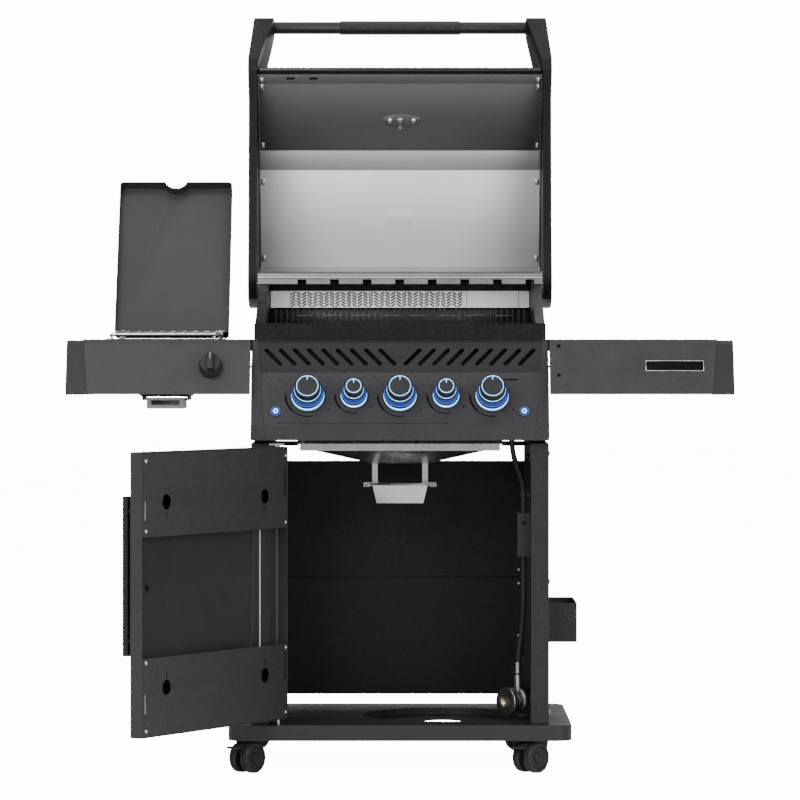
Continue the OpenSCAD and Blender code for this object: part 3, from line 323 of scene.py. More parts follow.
            link(drift.outputs["Colour"], darker.inputs[0])
            link(step.outputs["Result"], darker.inputs["Scale"])
            link(darker.outputs["Vector"], edges.inputs["Colour"])
        link(edges.outputs["Colour"], shader.inputs["Base Color"])
        link(drift.outputs["Roughness"], shader.inputs["Roughness"])
        grain = self._placed(nodes, self.grains[finish.grain])
        grain.inputs["Scale"].default_value = finish.scale
        link(place.outputs["Object"], grain.inputs["Vector"])
        bump = added(nodes, "Bump", {"Distance": finish.bump, "Strength": 0.6})
        link(grain.outputs["Height"], bump.inputs["Height"])
        link(bump.outputs["Normal"], shader.inputs["Normal"])
        if finish.glow is not None:
            shader.inputs["Emission Color"].default_value = (*finish.glow, 1.0)
            shader.inputs["Emission Strength"].default_value = finish.glow_strength
        self.made[finish.title] = material
        return material

    @staticmethod
    def _placed(nodes: bpy.types.Nodes, group: bpy.types.NodeTree) -> bpy.types.Node:
        """Puts a node group into a material."""
        node = nodes.new("ShaderNodeGroup")
        node.node_tree = group
        return node


SHELF_PAINT = Finish("shelf_paint", (0.02, 0.02, 0.0205), 0.4, scale=1300.0, bump=0.00003, wear=0.05)
FRAME_PAINT = Finish("frame_paint", (0.011, 0.011, 0.0115), 0.38, scale=1300.0, bump=0.00003, wear=0.05)
PANEL_PAINT = Finish("panel_paint", (0.004, 0.004, 0.0043), 0.42, scale=1300.0, bump=0.00002, wear=0.03,
                     shine=0.22)
DOOR_PAINT = Finish("door_paint", (0.034, 0.034, 0.0345), 0.42, 0.15, scale=1500.0, bump=0.00003, wear=0.05)
FASCIA_PAINT = Finish("fascia_paint", (0.042, 0.042, 0.041), 0.38, 0.3, scale=1700.0, bump=0.00002, wear=0.04)
# The control panel's upper facet gets painted shade above its crease at 0.838 m.
DARK_STEEL = Finish("dark_steel", (0.03, 0.027, 0.03), 0.45, 0.3, Grain.BRUSHED, 700.0, 0.00002, 0.05,
                    shade=(0.838, 0.3))
CASTING = Finish("black_casting", (0.0028, 0.0028, 0.003), 0.42, 0.0, Grain.CAST, 800.0, 0.00004, 0.05,
                 shine=0.18)
ENAMEL = Finish("black_enamel", (0.006, 0.006, 0.0065), 0.16, 0.0, Grain.SMOOTH, 60.0, 0.0001, 0.0, coat=0.6)
STAINLESS = Finish("stainless", (0.55, 0.55, 0.54), 0.3, 1.0, Grain.BRUSHED, 900.0, 0.00005, 0.0,
                   variation=0.16)
CHROME = Finish("chrome", (0.75, 0.76, 0.77), 0.09, 1.0, Grain.SMOOTH, 30.0, 0.00003, 0.0)
ZINC = Finish("zinc_plate", (0.45, 0.45, 0.44), 0.36, 1.0, Grain.POWDER, 420.0, 0.00008, 0.0, variation=0.3)
BRASS = Finish("turned_brass", (0.55, 0.38, 0.13), 0.28, 1.0, Grain.BRUSHED, 900.0, 0.00003, 0.0)
GRID_STEEL = Finish("heat_toned_steel", (0.13, 0.12, 0.115), 0.42, 0.9, Grain.CAST, 400.0, 0.0001, 0.2,
                    (0.3, 0.26, 0.2), variation=0.5)
KNOB_PLASTIC = Finish("knob_grey", (0.017, 0.017, 0.0175), 0.42, 0.0, Grain.MOULDED, 1300.0, 0.00004, 0.05)
PLASTIC = Finish("moulded_black", (0.016, 0.016, 0.017), 0.48, 0.0, Grain.MOULDED, 1300.0, 0.00008, 0.08)
WHEEL_PLASTIC = Finish("wheel_grey", (0.018, 0.0185, 0.02), 0.32, 0.0, Grain.MOULDED, 900.0, 0.00004, 0.05)
RUBBER = Finish("black_rubber", (0.018, 0.018, 0.018), 0.62, 0.0, Grain.MOULDED, 700.0, 0.0001, 0.0)
LIGHT = Finish("light_ring", (0.3, 0.6, 0.9), 0.4, 0.0, Grain.SMOOTH, 50.0, 0.0, 0.0,
               glow=(0.12, 0.48, 1.0), glow_strength=4.6)
# Dim blue light of the lower knob rings and the button collars; on the knob sides it is painted glow.
SOFT_LIGHT = Finish("soft_light_ring", (0.05, 0.1, 0.3), 0.35, 0.0, Grain.SMOOTH, 50.0, 0.0, 0.0,
                    glow=(0.008, 0.1, 0.95), glow_strength=0.9)
# One brushed-steel liner in three tones, painted light and shade by facet: the dark tone is painted shade,
# the band tone painted half light, the pale tone painted light.
LINER_SHADE_PAINTED = Finish("liner_painted_shade", (0.085, 0.088, 0.086), 0.42, 0.25, Grain.BRUSHED, 600.0, 0.00002, 0.0,
                    variation=0.05)
LINER_HALF_LIGHT_PAINTED = Finish("liner_painted_half_light", (0.44, 0.445, 0.44), 0.5, 0.25, Grain.BRUSHED, 600.0, 0.00002, 0.0,
                    variation=0.05)
LINER_LIGHT_PAINTED = Finish("liner_painted_light", (0.78, 0.78, 0.775), 0.5, 0.25, Grain.BRUSHED, 700.0, 0.00002, 0.0,
                    variation=0.04)
RACK_WIRE = Finish("rack_wire", (0.28, 0.28, 0.275), 0.34, 1.0, Grain.BRUSHED, 700.0, 0.00002, 0.0,
                   variation=0.3)
PRINT = Finish("dark_print", (0.0015, 0.0015, 0.0018), 0.6, 0.0, Grain.SMOOTH, 50.0, 0.0, 0.0, shine=0.1)
# Painted sheen: the stainless guard is drawn near-white and matte, standing in for its bright reflection.
GUARD_SHEEN_PAINTED = Finish("guard_painted_sheen", (0.95, 0.95, 0.95), 0.55, 0.0, Grain.BRUSHED, 700.0, 0.00002, 0.0,
                     variation=0.03)
PALE_PRINT = Finish("pale_print", (0.35, 0.36, 0.38), 0.5, 0.0, Grain.SMOOTH, 50.0, 0.0, 0.0)
DIAL_FACE = Finish("dial_face", (0.7, 0.7, 0.68), 0.5, 0.0, Grain.SMOOTH, 50.0, 0.0, 0.0, coat=1.0)

FINISH_OF_SLOT: Dict[str, Finish] = {"shelf_black": SHELF_PAINT, "frame_black": FRAME_PAINT,
                                     "panel_black": PANEL_PAINT, "door_grey": DOOR_PAINT,
                                     "fascia_grey": FASCIA_PAINT, "control_grey": DARK_STEEL,
                                     "cast_black": CASTING, "lid_black": ENAMEL, "stainless": STAINLESS,
                                     "chrome": CHROME, "zinc": ZINC, "brass": BRASS,
                                     "grid_iron": GRID_STEEL, "knob_black": KNOB_PLASTIC,
                                     "light_ring": LIGHT, "rubber_black": RUBBER,
                                     "wheel_black": WHEEL_PLASTIC, "plastic_black": PLASTIC,}


# ---- Bench: how pieces are made ----------------------------------------------------------------

class Bench:
    """Models pieces with Blender's own tools, and hands them to the frame."""

    def __init__(self, surfaces: Surfaces) -> None:
        """Keeps the materials and the record's table of nodes."""
        self.surfaces = surfaces
        record = frame["record"]
        self.slot_of = {part["node"]: part["material_slot"] for part in record["subparts"]}
        self.body_of = {n: body for body, nodes in record["behaviour"]["bodies"].items() for n in nodes}
        self.joints = {joint["name"]: joint for joint in frame["joints"]}

    def clear(self) -> None:
        """Leaves edit mode and deselects everything."""
        if bpy.context.object is not None and bpy.context.object.mode != "OBJECT":
            bpy.ops.object.mode_set(mode="OBJECT")
        bpy.ops.object.select_all(action="DESELECT")

    def pick(self, *pieces: bpy.types.Object) -> None:
        """Selects only these pieces, the last one active."""
        self.clear()
        for piece in pieces:
            piece.select_set(True)
            bpy.context.view_layer.objects.active = piece

    def settle(self, piece: bpy.types.Object, place: Optional[Matrix] = None) -> bpy.types.Object:
        """Puts a piece in place and moves that place into its mesh.

        Args:
            piece: The piece.
            place: Where it goes, from where it was modelled.

        Returns:
            The same piece, its object at the origin.
        """
        self.pick(piece)
        if place is not None:
            piece.matrix_world = place @ piece.matrix_world
        bpy.ops.object.transform_apply(location=True, rotation=True, scale=True)
        return piece

    def block(self, name: str, low: Sequence[float], high: Sequence[float], edge: float = 0.0008,
              steps: int = 2) -> bpy.types.Object:
        """A box with rounded edges.

        Args:
            name: Name of the piece.
            low: Lowest corner.
            high: Highest corner.
            edge: Radius of its edges.
            steps: Segments round an edge.

        Returns:
            The piece.
        """
        self.clear()
        middle = [(a + b) / 2 for a, b in zip(low, high)]
        bpy.ops.mesh.primitive_cube_add(size=1.0, location=middle)
        piece = bpy.context.object
        piece.name = name
        piece.scale = [b - a for a, b in zip(low, high)]
        bpy.ops.object.transform_apply(location=True, rotation=True, scale=True)
        if edge > 0:
            bpy.ops.object.mode_set(mode="EDIT")
            bpy.ops.mesh.select_all(action="SELECT")
            bpy.ops.mesh.bevel(offset=edge, segments=steps, affect="EDGES", clamp_overlap=True)
            bpy.ops.object.mode_set(mode="OBJECT")
            bpy.ops.object.shade_smooth_by_angle(angle=math.radians(50))
        return piece

    def turned(self, name: str, rings: Sequence[Ring], sides: int = 48, closed: bool = False,
               angle: float = 35.0) -> bpy.types.Object:
        """A turned piece about Z, extruded ring by ring from its first disc.

        Args:
            name: Name of the piece.
            rings: Radius and height of each ring.
            sides: Sides round the axis.
            closed: Whether the last ring joins the first, as on a hollow ring.
            angle: Sharpest angle that is shaded smooth.

        Returns:
            The piece.
        """
        self.clear()
        radius, height = rings[0]
        bpy.ops.mesh.primitive_circle_add(vertices=sides, radius=radius, location=(0, 0, height),
                                          fill_type="NOTHING" if closed else "NGON")
        piece = bpy.context.object
        piece.name = name
        bpy.ops.object.transform_apply(location=True, rotation=True, scale=True)
        bpy.ops.object.mode_set(mode="EDIT")
        bpy.ops.mesh.select_all(action="SELECT")
        path = list(rings[1:]) + ([rings[0]] if closed else [])
        for next_radius, next_height in path:
            move = {"value": (0.0, 0.0, next_height - height)}
            if closed:
                bpy.ops.mesh.extrude_edges_move(TRANSFORM_OT_translate=move)
            else:
                bpy.ops.mesh.extrude_region_move(TRANSFORM_OT_translate=move)
            share = next_radius / radius
            bpy.ops.transform.resize(value=(share, share, 1.0), center_override=(0.0, 0.0, next_height))
            radius, height = next_radius, next_height
        bpy.ops.mesh.select_all(action="SELECT")
        bpy.ops.mesh.remove_doubles(threshold=WELD)
        bpy.ops.mesh.normals_make_consistent(inside=False)
        bpy.ops.object.mode_set(mode="OBJECT")
        bpy.ops.object.shade_smooth_by_angle(angle=math.radians(angle))
        return piece

    def rod(self, name: str, start: Vector, end: Vector, radius: float, sides: int = 24,
            edge: float = 0.0005) -> bpy.types.Object:
        """A straight round rod with eased ends.

        Args:
            name: Name of the piece.
            start: Centre of its first end.
            end: Centre of its other end.
            radius: Its radius.
            sides: Sides round it.
            edge: How far its ends are eased.

        Returns:
            The piece.
        """
        length = (end - start).length
        rings = [(radius - edge, 0.0), (radius, edge), (radius, length - edge), (radius - edge, length)]
        piece = self.turned(name, rings, sides)
        turn = (end - start).to_track_quat("Z", "Y").to_matrix().to_4x4()
        return self.settle(piece, Matrix.Translation(start) @ turn)

    def copies(self, piece: bpy.types.Object, places: Sequence[Matrix], name: str) -> bpy.types.Object:
        """Copies a piece to several places and joins the copies.

        Args:
            piece: The pattern, which is used up.
            places: Where each copy goes.
            name: Name of the joined piece.

        Returns:
            The joined piece.
        """
        made = []
        for place in places:
            self.pick(piece)
            bpy.ops.object.duplicate()
            made.append(self.settle(bpy.context.object, place))
        bpy.data.objects.remove(piece)
        return self.joined(name, made)

    def joined(self, name: str, pieces: Sequence[bpy.types.Object]) -> bpy.types.Object:
        """Joins pieces into one.

        Args:
            name: Name of the joined piece.
            pieces: The pieces.

        Returns:
            The joined piece.
        """
        self.pick(*pieces)
        if len(pieces) > 1:
            bpy.ops.object.join()
        piece = bpy.context.object
        piece.name = name
        return piece

    def bevelled(self, piece: bpy.types.Object, width: float, steps: int = 2, angle: float = 35.0) -> None:
        """Rounds a piece's sharp edges with a modifier, which is applied.

        Args:
            piece: The piece.
            width: Radius of the edges.
            steps: Segments round an edge.
            angle: Smallest angle that counts as an edge.
        """
        self.pick(piece)
        bpy.ops.object.shade_smooth_by_angle(angle=math.radians(angle))
        bpy.ops.object.modifier_add(type="BEVEL")
        bevel = piece.modifiers[-1]
        bevel.width = width
        bevel.segments = steps
        bevel.limit_method = "ANGLE"
        bevel.angle_limit = math.radians(angle)
        bevel.use_clamp_overlap = True
        bevel.harden_normals = True
        bpy.ops.object.modifier_apply(modifier=bevel.name)

    def sunk(self, piece: bpy.types.Object, chosen: Callable[[bpy.types.MeshPolygon], bool], rim: float,
             depth: float) -> None:
        """Insets some of a piece's faces one by one and sinks them.

        Args:
            piece: The piece.
            chosen: Tells whether a face is one of them.
            rim: How much of each face is left round its edge.
            depth: How far they sink.
        """
        self.pick(piece)
        bpy.ops.object.mode_set(mode="EDIT")
        bpy.ops.mesh.select_all(action="DESELECT")
        bpy.ops.mesh.select_mode(type="FACE")
        bpy.ops.object.mode_set(mode="OBJECT")
        for face in piece.data.polygons:
            face.select = chosen(face)
        bpy.ops.object.mode_set(mode="EDIT")
        bpy.ops.mesh.inset(thickness=rim, depth=-depth, use_individual=True)
        bpy.ops.mesh.select_mode(type="VERT")
        bpy.ops.object.mode_set(mode="OBJECT")

    def copied_node(self, node: str) -> bpy.types.Object:
        """A merged copy of a CAD node, which stands for it.

        Args:
            node: Name of the node.

        Returns:
            The copy, with its flat faces made whole.
        """
        self.pick(frame["nodes"][node])
        bpy.ops.object.duplicate()
        piece = bpy.context.object
        piece.name = node + "_finished"
        piece.parent = None
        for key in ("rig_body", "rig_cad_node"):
            if key in piece:
                del piece[key]
        piece.data.materials.clear()
        bpy.ops.object.mode_set(mode="EDIT")
        bpy.ops.mesh.select_all(action="SELECT")
        bpy.ops.mesh.remove_doubles(threshold=WELD)
        bpy.ops.mesh.dissolve_limited(angle_limit=math.radians(0.5))
        bpy.ops.object.mode_set(mode="OBJECT")
        return piece

    def eased(self, node: str, width: float, finish: Optional[Finish] = None,
              steps: int = 2) -> bpy.types.Object:
        """A copy of a CAD node with rounded edges, finished and riding.

        Args:
            node: Name of the node.
            width: Radius of its edges.
            finish: Its finish, if not its slot's.
            steps: Segments round an edge.

        Returns:
            The piece.
        """
        piece = self.copied_node(node)
        self.bevelled(piece, width, steps)
        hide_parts(node)
        return self.fit(piece, self.body_of[node], finish or FINISH_OF_SLOT[self.slot_of[node]],
                        self.slot_of[node])

    def fit(self, piece: bpy.types.Object, body: str, finish: Finish,
            slot: Optional[str] = None) -> bpy.types.Object:
        """Finishes a piece and lets it ride on a body.

        Args:
            piece: The piece, in place.
            body: The CAD body that it rides on.
            finish: Its finish.
            slot: The record's slot, if the finish is one of those; not used.

        Returns:
            The piece.
        """
        piece.data.materials.clear()
        piece.data.materials.append(self.surfaces.material(finish))
        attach(piece, body)
        LOG.info("%s rides on %s, %d faces, %s", piece.name, body, len(piece.data.polygons), finish.title)
        return piece

    def drawn_open(self, joint: str) -> Matrix:
        """The turn from a hinged body's closed place to where it is drawn.

        Args:
            joint: Name of its joint, whose lowest value is the closed place.

        Returns:
            The turn, as a matrix.
        """
        hinge = self.joints[joint]
        centre = Matrix.Translation(Vector(hinge["pos_m"]))
        turn = Matrix.Rotation(math.radians(-hinge["range_deg"][0]), 4, Vector(hinge["axis"]))
        return centre @ turn @ centre.inverted()

    def facing(self, joint: str) -> Matrix:
        """A place on a joint's axis whose Z runs along the axis.

        Args:
            joint: Name of the joint.

        Returns:
            The place, with X kept level.
        """
        found = self.joints[joint]
        out = Vector(found["axis"]).normalized()
        across = Vector((1.0, 0.0, 0.0))
        if abs(out.x) > 0.5 or abs(out.z) < 0.01 and abs(out.x) > 1e-6:
            across = Vector((0.0, 0.0, 1.0)).cross(out).normalized()
        up = out.cross(across).normalized()
        turn = Matrix((across, up, out)).transposed().to_4x4()
        return Matrix.Translation(Vector(found["pos_m"])) @ turn


# ---- Pieces that keep their CAD shape ----------------------------------------------------------

@dataclass
class CarriedParts:
    """Nodes that keep their shape: eased copies of the visible ones, and finishes on the rest.

    Attributes:
        bench: Where the pieces are made.
        edges: Edge radius of each node that gets an eased copy, in metres.
        finishes: Finishes that differ from their slot's.
    """

    bench: Bench
    edges: Dict[str, float] = field(default_factory=lambda: {
        "base_shelf": 0.003, "side_frames": 0.0025, "back_panels": 0.0006, "cabinet_brackets": 0.0006,
        "firebox": 0.002, "control_panel": 0.0006, "end_caps": 0.0015, "shelf_tops": 0.0006,
        "shelf_fascias": 0.0006, "side_burner": 0.0006, "side_caddy": 0.0009, "warming_rack": 0.0005,
        "grease_pan": 0.0005, "drip_tray": 0.0003, "side_drip_tray": 0.0004, "lid_shell": 0.0006,
        "lid_end_castings": 0.003, "side_burner_lid": 0.0006, "door_skin": 0.0007,
        "door_inner_plates": 0.0005, "door_handle": 0.002, "regulator": 0.0008,
        "lid_handle": 0.0008, "temperature_gauge": 0.0008, "brake_pedal_left": 0.0012,
        "brake_pedal_right": 0.0012, "sear_plates": 0.0005, "caster_plates": 0.0005,
    })
    finishes: Dict[str, Finish] = field(default_factory=lambda: {"warming_rack": RACK_WIRE})

    def build(self, replaced: Sequence[str]) -> None:
        """Makes the eased copies, then gives every other node its finish.

        Args:
            replaced: Nodes that a detailed piece stands for.
        """
        for node, width in self.edges.items():
            self.bench.eased(node, width, self.finishes.get(node))
        for node, obj in frame["nodes"].items():
            if node in self.edges or node in replaced:
                continue
            finish = FINISH_OF_SLOT[self.bench.slot_of[node]]
            obj.data.materials.clear()
            obj.data.materials.append(self.bench.surfaces.material(finish))
            self.bench.pick(obj)
            bpy.ops.object.shade_smooth_by_angle(angle=math.radians(30))
            LOG.info("%s keeps its shape, %s", node, finish.title)


# ---- Knobs, lights and panel -------------------------------------------------------------------

@dataclass
class LitKnobs:
    """The five lit control knobs, their bezels and the two lit push buttons.

    Attributes:
        bench: Where the pieces are made.
        lift: Height of a knob's back above the panel.
        top: Height of a knob's face above the panel.
        flutes: Grip flutes round a knob.
    """

    bench: Bench
    lift: float = 0.0095
    top: float = 0.056
    flutes: int = 28

    def build(self) -> List[str]:
        """Makes all knobs, bezels and buttons.

        Returns:
            The nodes that they stand for.
        """
        replaced = ["knob_bezels"]
        bezels = []
        for number in KNOBS:
            node = f"knob_{number}"
            radius = (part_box(node)[1].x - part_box(node)[0].x) / 2
            place = self.bench.facing(f"knob_{number}_turn")
            self._knob(node, radius, place)
            bezels += self._bezel(node, radius, place)
            replaced.append(node)
        side = self.bench.facing("side_knob_turn")
        ring = self.bench.turned("side_knob_bezel", [(0.0245, 0.0), (0.0245, 0.0012), (0.0238, 0.002),
                                                     (0.012, 0.002)], 64)
        bezels.append(self.bench.fit(self.bench.settle(ring, side), "cart", PLASTIC))
        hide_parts("knob_bezels")
        for node in ("light_button", "igniter_button"):
            self._button(node)
            replaced.append(node)
        self._side_knob(side)
        return replaced + ["side_knob"]

    def _knob(self, node: str, radius: float, place: Matrix) -> None:
        """One knob: skirt, waist and fluted cap, with two light rings.

        Args:
            node: The CAD node that it stands for.
            radius: Radius of its skirt.
            place: Its place on the panel, Z outwards.
        """
        cap = radius - 0.0075
        z0, z1 = self.lift, self.top
        rings = [(radius - 0.0008, z0), (radius, z0 + 0.0008), (radius, z0 + 0.0062),
                 (radius - 0.001, z0 + 0.0072), (radius - 0.0034, z0 + 0.0076),
                 (radius - 0.0034, z0 + 0.0096), (radius - 0.0022, z0 + 0.01),
                 (radius - 0.0026, z0 + 0.0225), (radius - 0.0042, z0 + 0.0252),
                 (cap + 0.0002, z0 + 0.0256), (cap + 0.0002, z0 + 0.0272), (cap + 0.0008, z0 + 0.0276),
                 (cap + 0.0002, z1 - 0.0035), (cap - 0.0012, z1 - 0.0012), (cap - 0.0035, z1 - 0.0002),
                 (cap - 0.005, z1 - 0.001), (cap - 0.0056, z1 - 0.0016), (0.004, z1 - 0.0014),]
        body = self.bench.turned(node + "_body", rings, 2 * self.flutes, angle=40.0)
        self._flute(body, cap, z0 + 0.029, z1 - 0.0045)
        self.bench.settle(body, place)
        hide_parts(node)
        self.bench.fit(body, node, KNOB_PLASTIC)
        lower = self._light_ring(node + "_light_low", radius - 0.0036, radius - 0.0016, z0 + 0.0077,
                                 z0 + 0.0088)
        upper = self._light_ring(node + "_light_high", cap - 0.0004, cap + 0.0012, z0 + 0.0257, z0 + 0.0265)
        rim = self._light_ring(node + "_light_rim", cap - 0.0047, cap - 0.0038, z1 - 0.001, z1 + 0.0001)
        for ring, finish in ((lower, SOFT_LIGHT), (upper, LIGHT), (rim, LIGHT)):
            self.bench.fit(self.bench.settle(ring, place), node, finish)
        # Painted glow: two dim bands on the knob's side, next to its light rings, stand in for their light
        # spilling onto it.
        spill_bands_painted = [self._light_ring(node + "_painted_spill", radius - 0.003, radius - 0.00195, z0 + 0.0101, z0 + 0.0128),
                 self._light_ring(node + "_painted_spill", radius - 0.0034, radius - 0.0024, z0 + 0.0195, z0 + 0.0222)]
        painted_halo = self.bench.joined(node + "_painted_spill", spill_bands_painted)
        self.bench.fit(self.bench.settle(painted_halo, place), node, SOFT_LIGHT)
        pointer = self.bench.block(node + "_pointer", (-0.0011, cap - 0.013, z1 - 0.0018),
                                   (0.0011, cap - 0.0062, z1 - 0.0009), 0.0002, 1)
        self._taper(pointer)
        self.bench.fit(self.bench.settle(pointer, place), node, LIGHT)

    def _taper(self, piece: bpy.types.Object) -> None:
        """Narrows the inner end of a pointer to a point."""
        self.bench.pick(piece)
        low = min(v.co.y for v in piece.data.vertices)
        bpy.ops.object.mode_set(mode="EDIT")
        bpy.ops.mesh.select_all(action="DESELECT")
        bpy.ops.object.mode_set(mode="OBJECT")
        for vertex in piece.data.vertices:
            vertex.select = vertex.co.y < low + 0.001
        bpy.ops.object.mode_set(mode="EDIT")
        bpy.ops.transform.resize(value=(0.15, 1.0, 1.0), center_override=(0.0, low, 0.0))
        bpy.ops.object.mode_set(mode="OBJECT")

    def _flute(self, body: bpy.types.Object, cap: float, low: float, high: float) -> None:
        """Draws in every other side of the cap, for grip.

        Args:
            body: The knob's mesh, modelled about Z.
            cap: Radius of the cap.
            low: Where the flutes start.
            high: Where they end.
        """
        step = math.pi / self.flutes

        def is_flute(face: bpy.types.MeshPolygon) -> bool:
            """Tells whether a face is a side of the cap that is drawn in."""
            middle = face.center
            on_cap = low - 2 * MM < middle.z < high + 2 * MM and middle.xy.length > cap - MM
            turn = math.atan2(middle.y, middle.x) % (2 * step)
            return on_cap and turn < step and abs(face.normal.z) < SIDE_ON

        self.bench.sunk(body, is_flute, 0.0007, 0.0006)

    def _light_ring(self, name: str, inner: float, outer: float, low: float, high: float) -> bpy.types.Object:
        """A flat ring of light.

        Args:
            name: Name of the piece.
            inner: Inner radius.
            outer: Outer radius.
            low: Its lower face.
            high: Its upper face.

        Returns:
            The ring, about Z.
        """
        rings = [(inner, low), (outer, low), (outer, high), (inner, high)]
        return self.bench.turned(name, rings, 72, closed=True)

    def _bezel(self, node: str, radius: float, place: Matrix) -> List[bpy.types.Object]:
        """The fixed dark bezel of a knob and the thick ring of light in it.

        Args:
            node: The knob's node.
            radius: Radius of the knob's skirt.
            place: Its place on the panel.

        Returns:
            The bezel and the light.
        """
        outer = radius + 0.0035
        rings = [(radius - 0.006, 0.0), (outer, 0.0), (outer, 0.0016), (outer - 0.0012, 0.0026),
                 (radius - 0.0005, 0.003), (radius - 0.006, 0.003)]
        bezel = self.bench.turned(node + "_bezel", rings, 72, closed=True)
        self.bench.fit(self.bench.settle(bezel, place), "cart", PLASTIC)
        glow = self._light_ring(node + "_base_light", radius - 0.0045, radius + 0.0004, 0.003, 0.0053)
        self.bench.fit(self.bench.settle(glow, place), "cart", LIGHT)
        return [bezel, glow]

    def _button(self, node: str) -> None:
        """A round push button with a lit rim and a lit dot.

        Args:
            node: The CAD node that it stands for.
        """
        low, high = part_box(node)
        radius = (high.x - low.x) / 2
        out = Vector(self.bench.joints[node + "_push"]["axis"]) * -1.0
        middle = (low + high) / 2
        half = 0.00625
        place = Matrix.Translation(middle) @ out.to_track_quat("Z", "Y").to_matrix().to_4x4()
        body = self.bench.turned(node + "_body",
                                 [(radius, -half), (radius, half - 0.0012),
                                  (radius - 0.0006, half - 0.0004), (radius - 0.0016, half),
                                  (radius - 0.0024, half - 0.0006), (0.001, half - 0.0008)], 48)
        self.bench.settle(body, place)
        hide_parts(node)
        self.bench.fit(body, node, PLASTIC)
        ring = self._light_ring(node + "_light", radius - 0.0052, radius - 0.0026, half - 0.0012,
                                half - 0.0002)
        self.bench.fit(self.bench.settle(ring, place), node, LIGHT)
        collar = self._light_ring(node + "_collar", radius + 0.0002, radius + 0.0028, 0.0017, 0.0046)
        self.bench.fit(self.bench.settle(collar, place), "cart", PLASTIC)
        glow = self._light_ring(node + "_collar_light", radius + 0.0009, radius + 0.002, 0.0045, 0.0049)
        self.bench.fit(self.bench.settle(glow, place), "cart", SOFT_LIGHT)

    def _side_knob(self, place: Matrix) -> None:
        """The side burner's barrel knob, with a flat crest to turn it by.

        Args:
            place: Its place on the fascia.
        """
        rings = [(0.0235, 0.0065), (0.0242, 0.0073), (0.0242, 0.0115), (0.0232, 0.0132), (0.0222, 0.0145),
                 (0.0212, 0.029), (0.0205, 0.0305), (0.004, 0.0312)]
        base = self.bench.turned("side_knob_skirt", rings, 64)
        crest = self.bench.block("side_knob_crest", (-0.0075, -0.0195, 0.0308), (0.0075, 0.0195, 0.045),
                                 0.0035, 4)
        mark = self.bench.block("side_knob_mark", (-0.0007, 0.002, 0.0446), (0.0007, 0.0165, 0.0453),
                                0.0002, 1)
        body = self.bench.joined("side_knob_body", [base, crest])
        self.bench.settle(body, place)
        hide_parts("side_knob")
        self.bench.fit(body, "side_knob", KNOB_PLASTIC)
        self.bench.fit(self.bench.settle(mark, place), "side_knob", PALE_PRINT)


@dataclass(frozen=True)
class Screw:
    """A pan-head screw.

    Attributes:
        radius: Radius of its head.
        height: Height of its head.
    """

    radius: float = 0.004
    height: float = 0.0022

    def pattern(self, bench: Bench, name: str) -> bpy.types.Object:
        """The screw's head about Z, with its recess.

        Args:
            bench: Where it is made.
            name: Name of the piece.

        Returns:
            The head.
        """
        r, h = self.radius, self.height
        rings = [(r * 0.98, 0.0), (r, h * 0.2), (r * 0.92, h * 0.6), (r * 0.7, h * 0.9), (r * 0.46, h),
                 (r * 0.4, h * 0.96), (r * 0.36, h * 0.35)]
        return bench.turned(name, rings, 18, angle=50.0)

    def row(self, bench: Bench, name: str, places: Sequence[Matrix], body: str,
            finish: Finish) -> bpy.types.Object:
        """Screws at several places, as one piece.

        Args:
            bench: Where they are made.
            name: Name of the piece.
            places: Place of each screw, Z along its axis.
            body: The body that they ride on.
            finish: Their finish.

        Returns:
            The piece.
        """
        return bench.fit(bench.copies(self.pattern(bench, name), places, name), body, finish)


def spot(x: float, y: float, z: float) -> Vector:
    """A point given in millimetres from the bottom shelf's front edge.

    Args:
        x: To the right.
        y: To the back.
        z: Up from the floor.

    Returns:
        The point in the shared frame, in metres.
    """
    return Vector((x * MM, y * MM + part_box("base_shelf")[0].y, z * MM))


def aimed(at: Vector, out: Vector) -> Matrix:
    """A place at a point, whose Z points outwards.

    Args:
        at: The point.
        out: The outward direction.

    Returns:
        The place.
    """
    return Matrix.Translation(at) @ out.to_track_quat("Z", "Y").to_matrix().to_4x4()


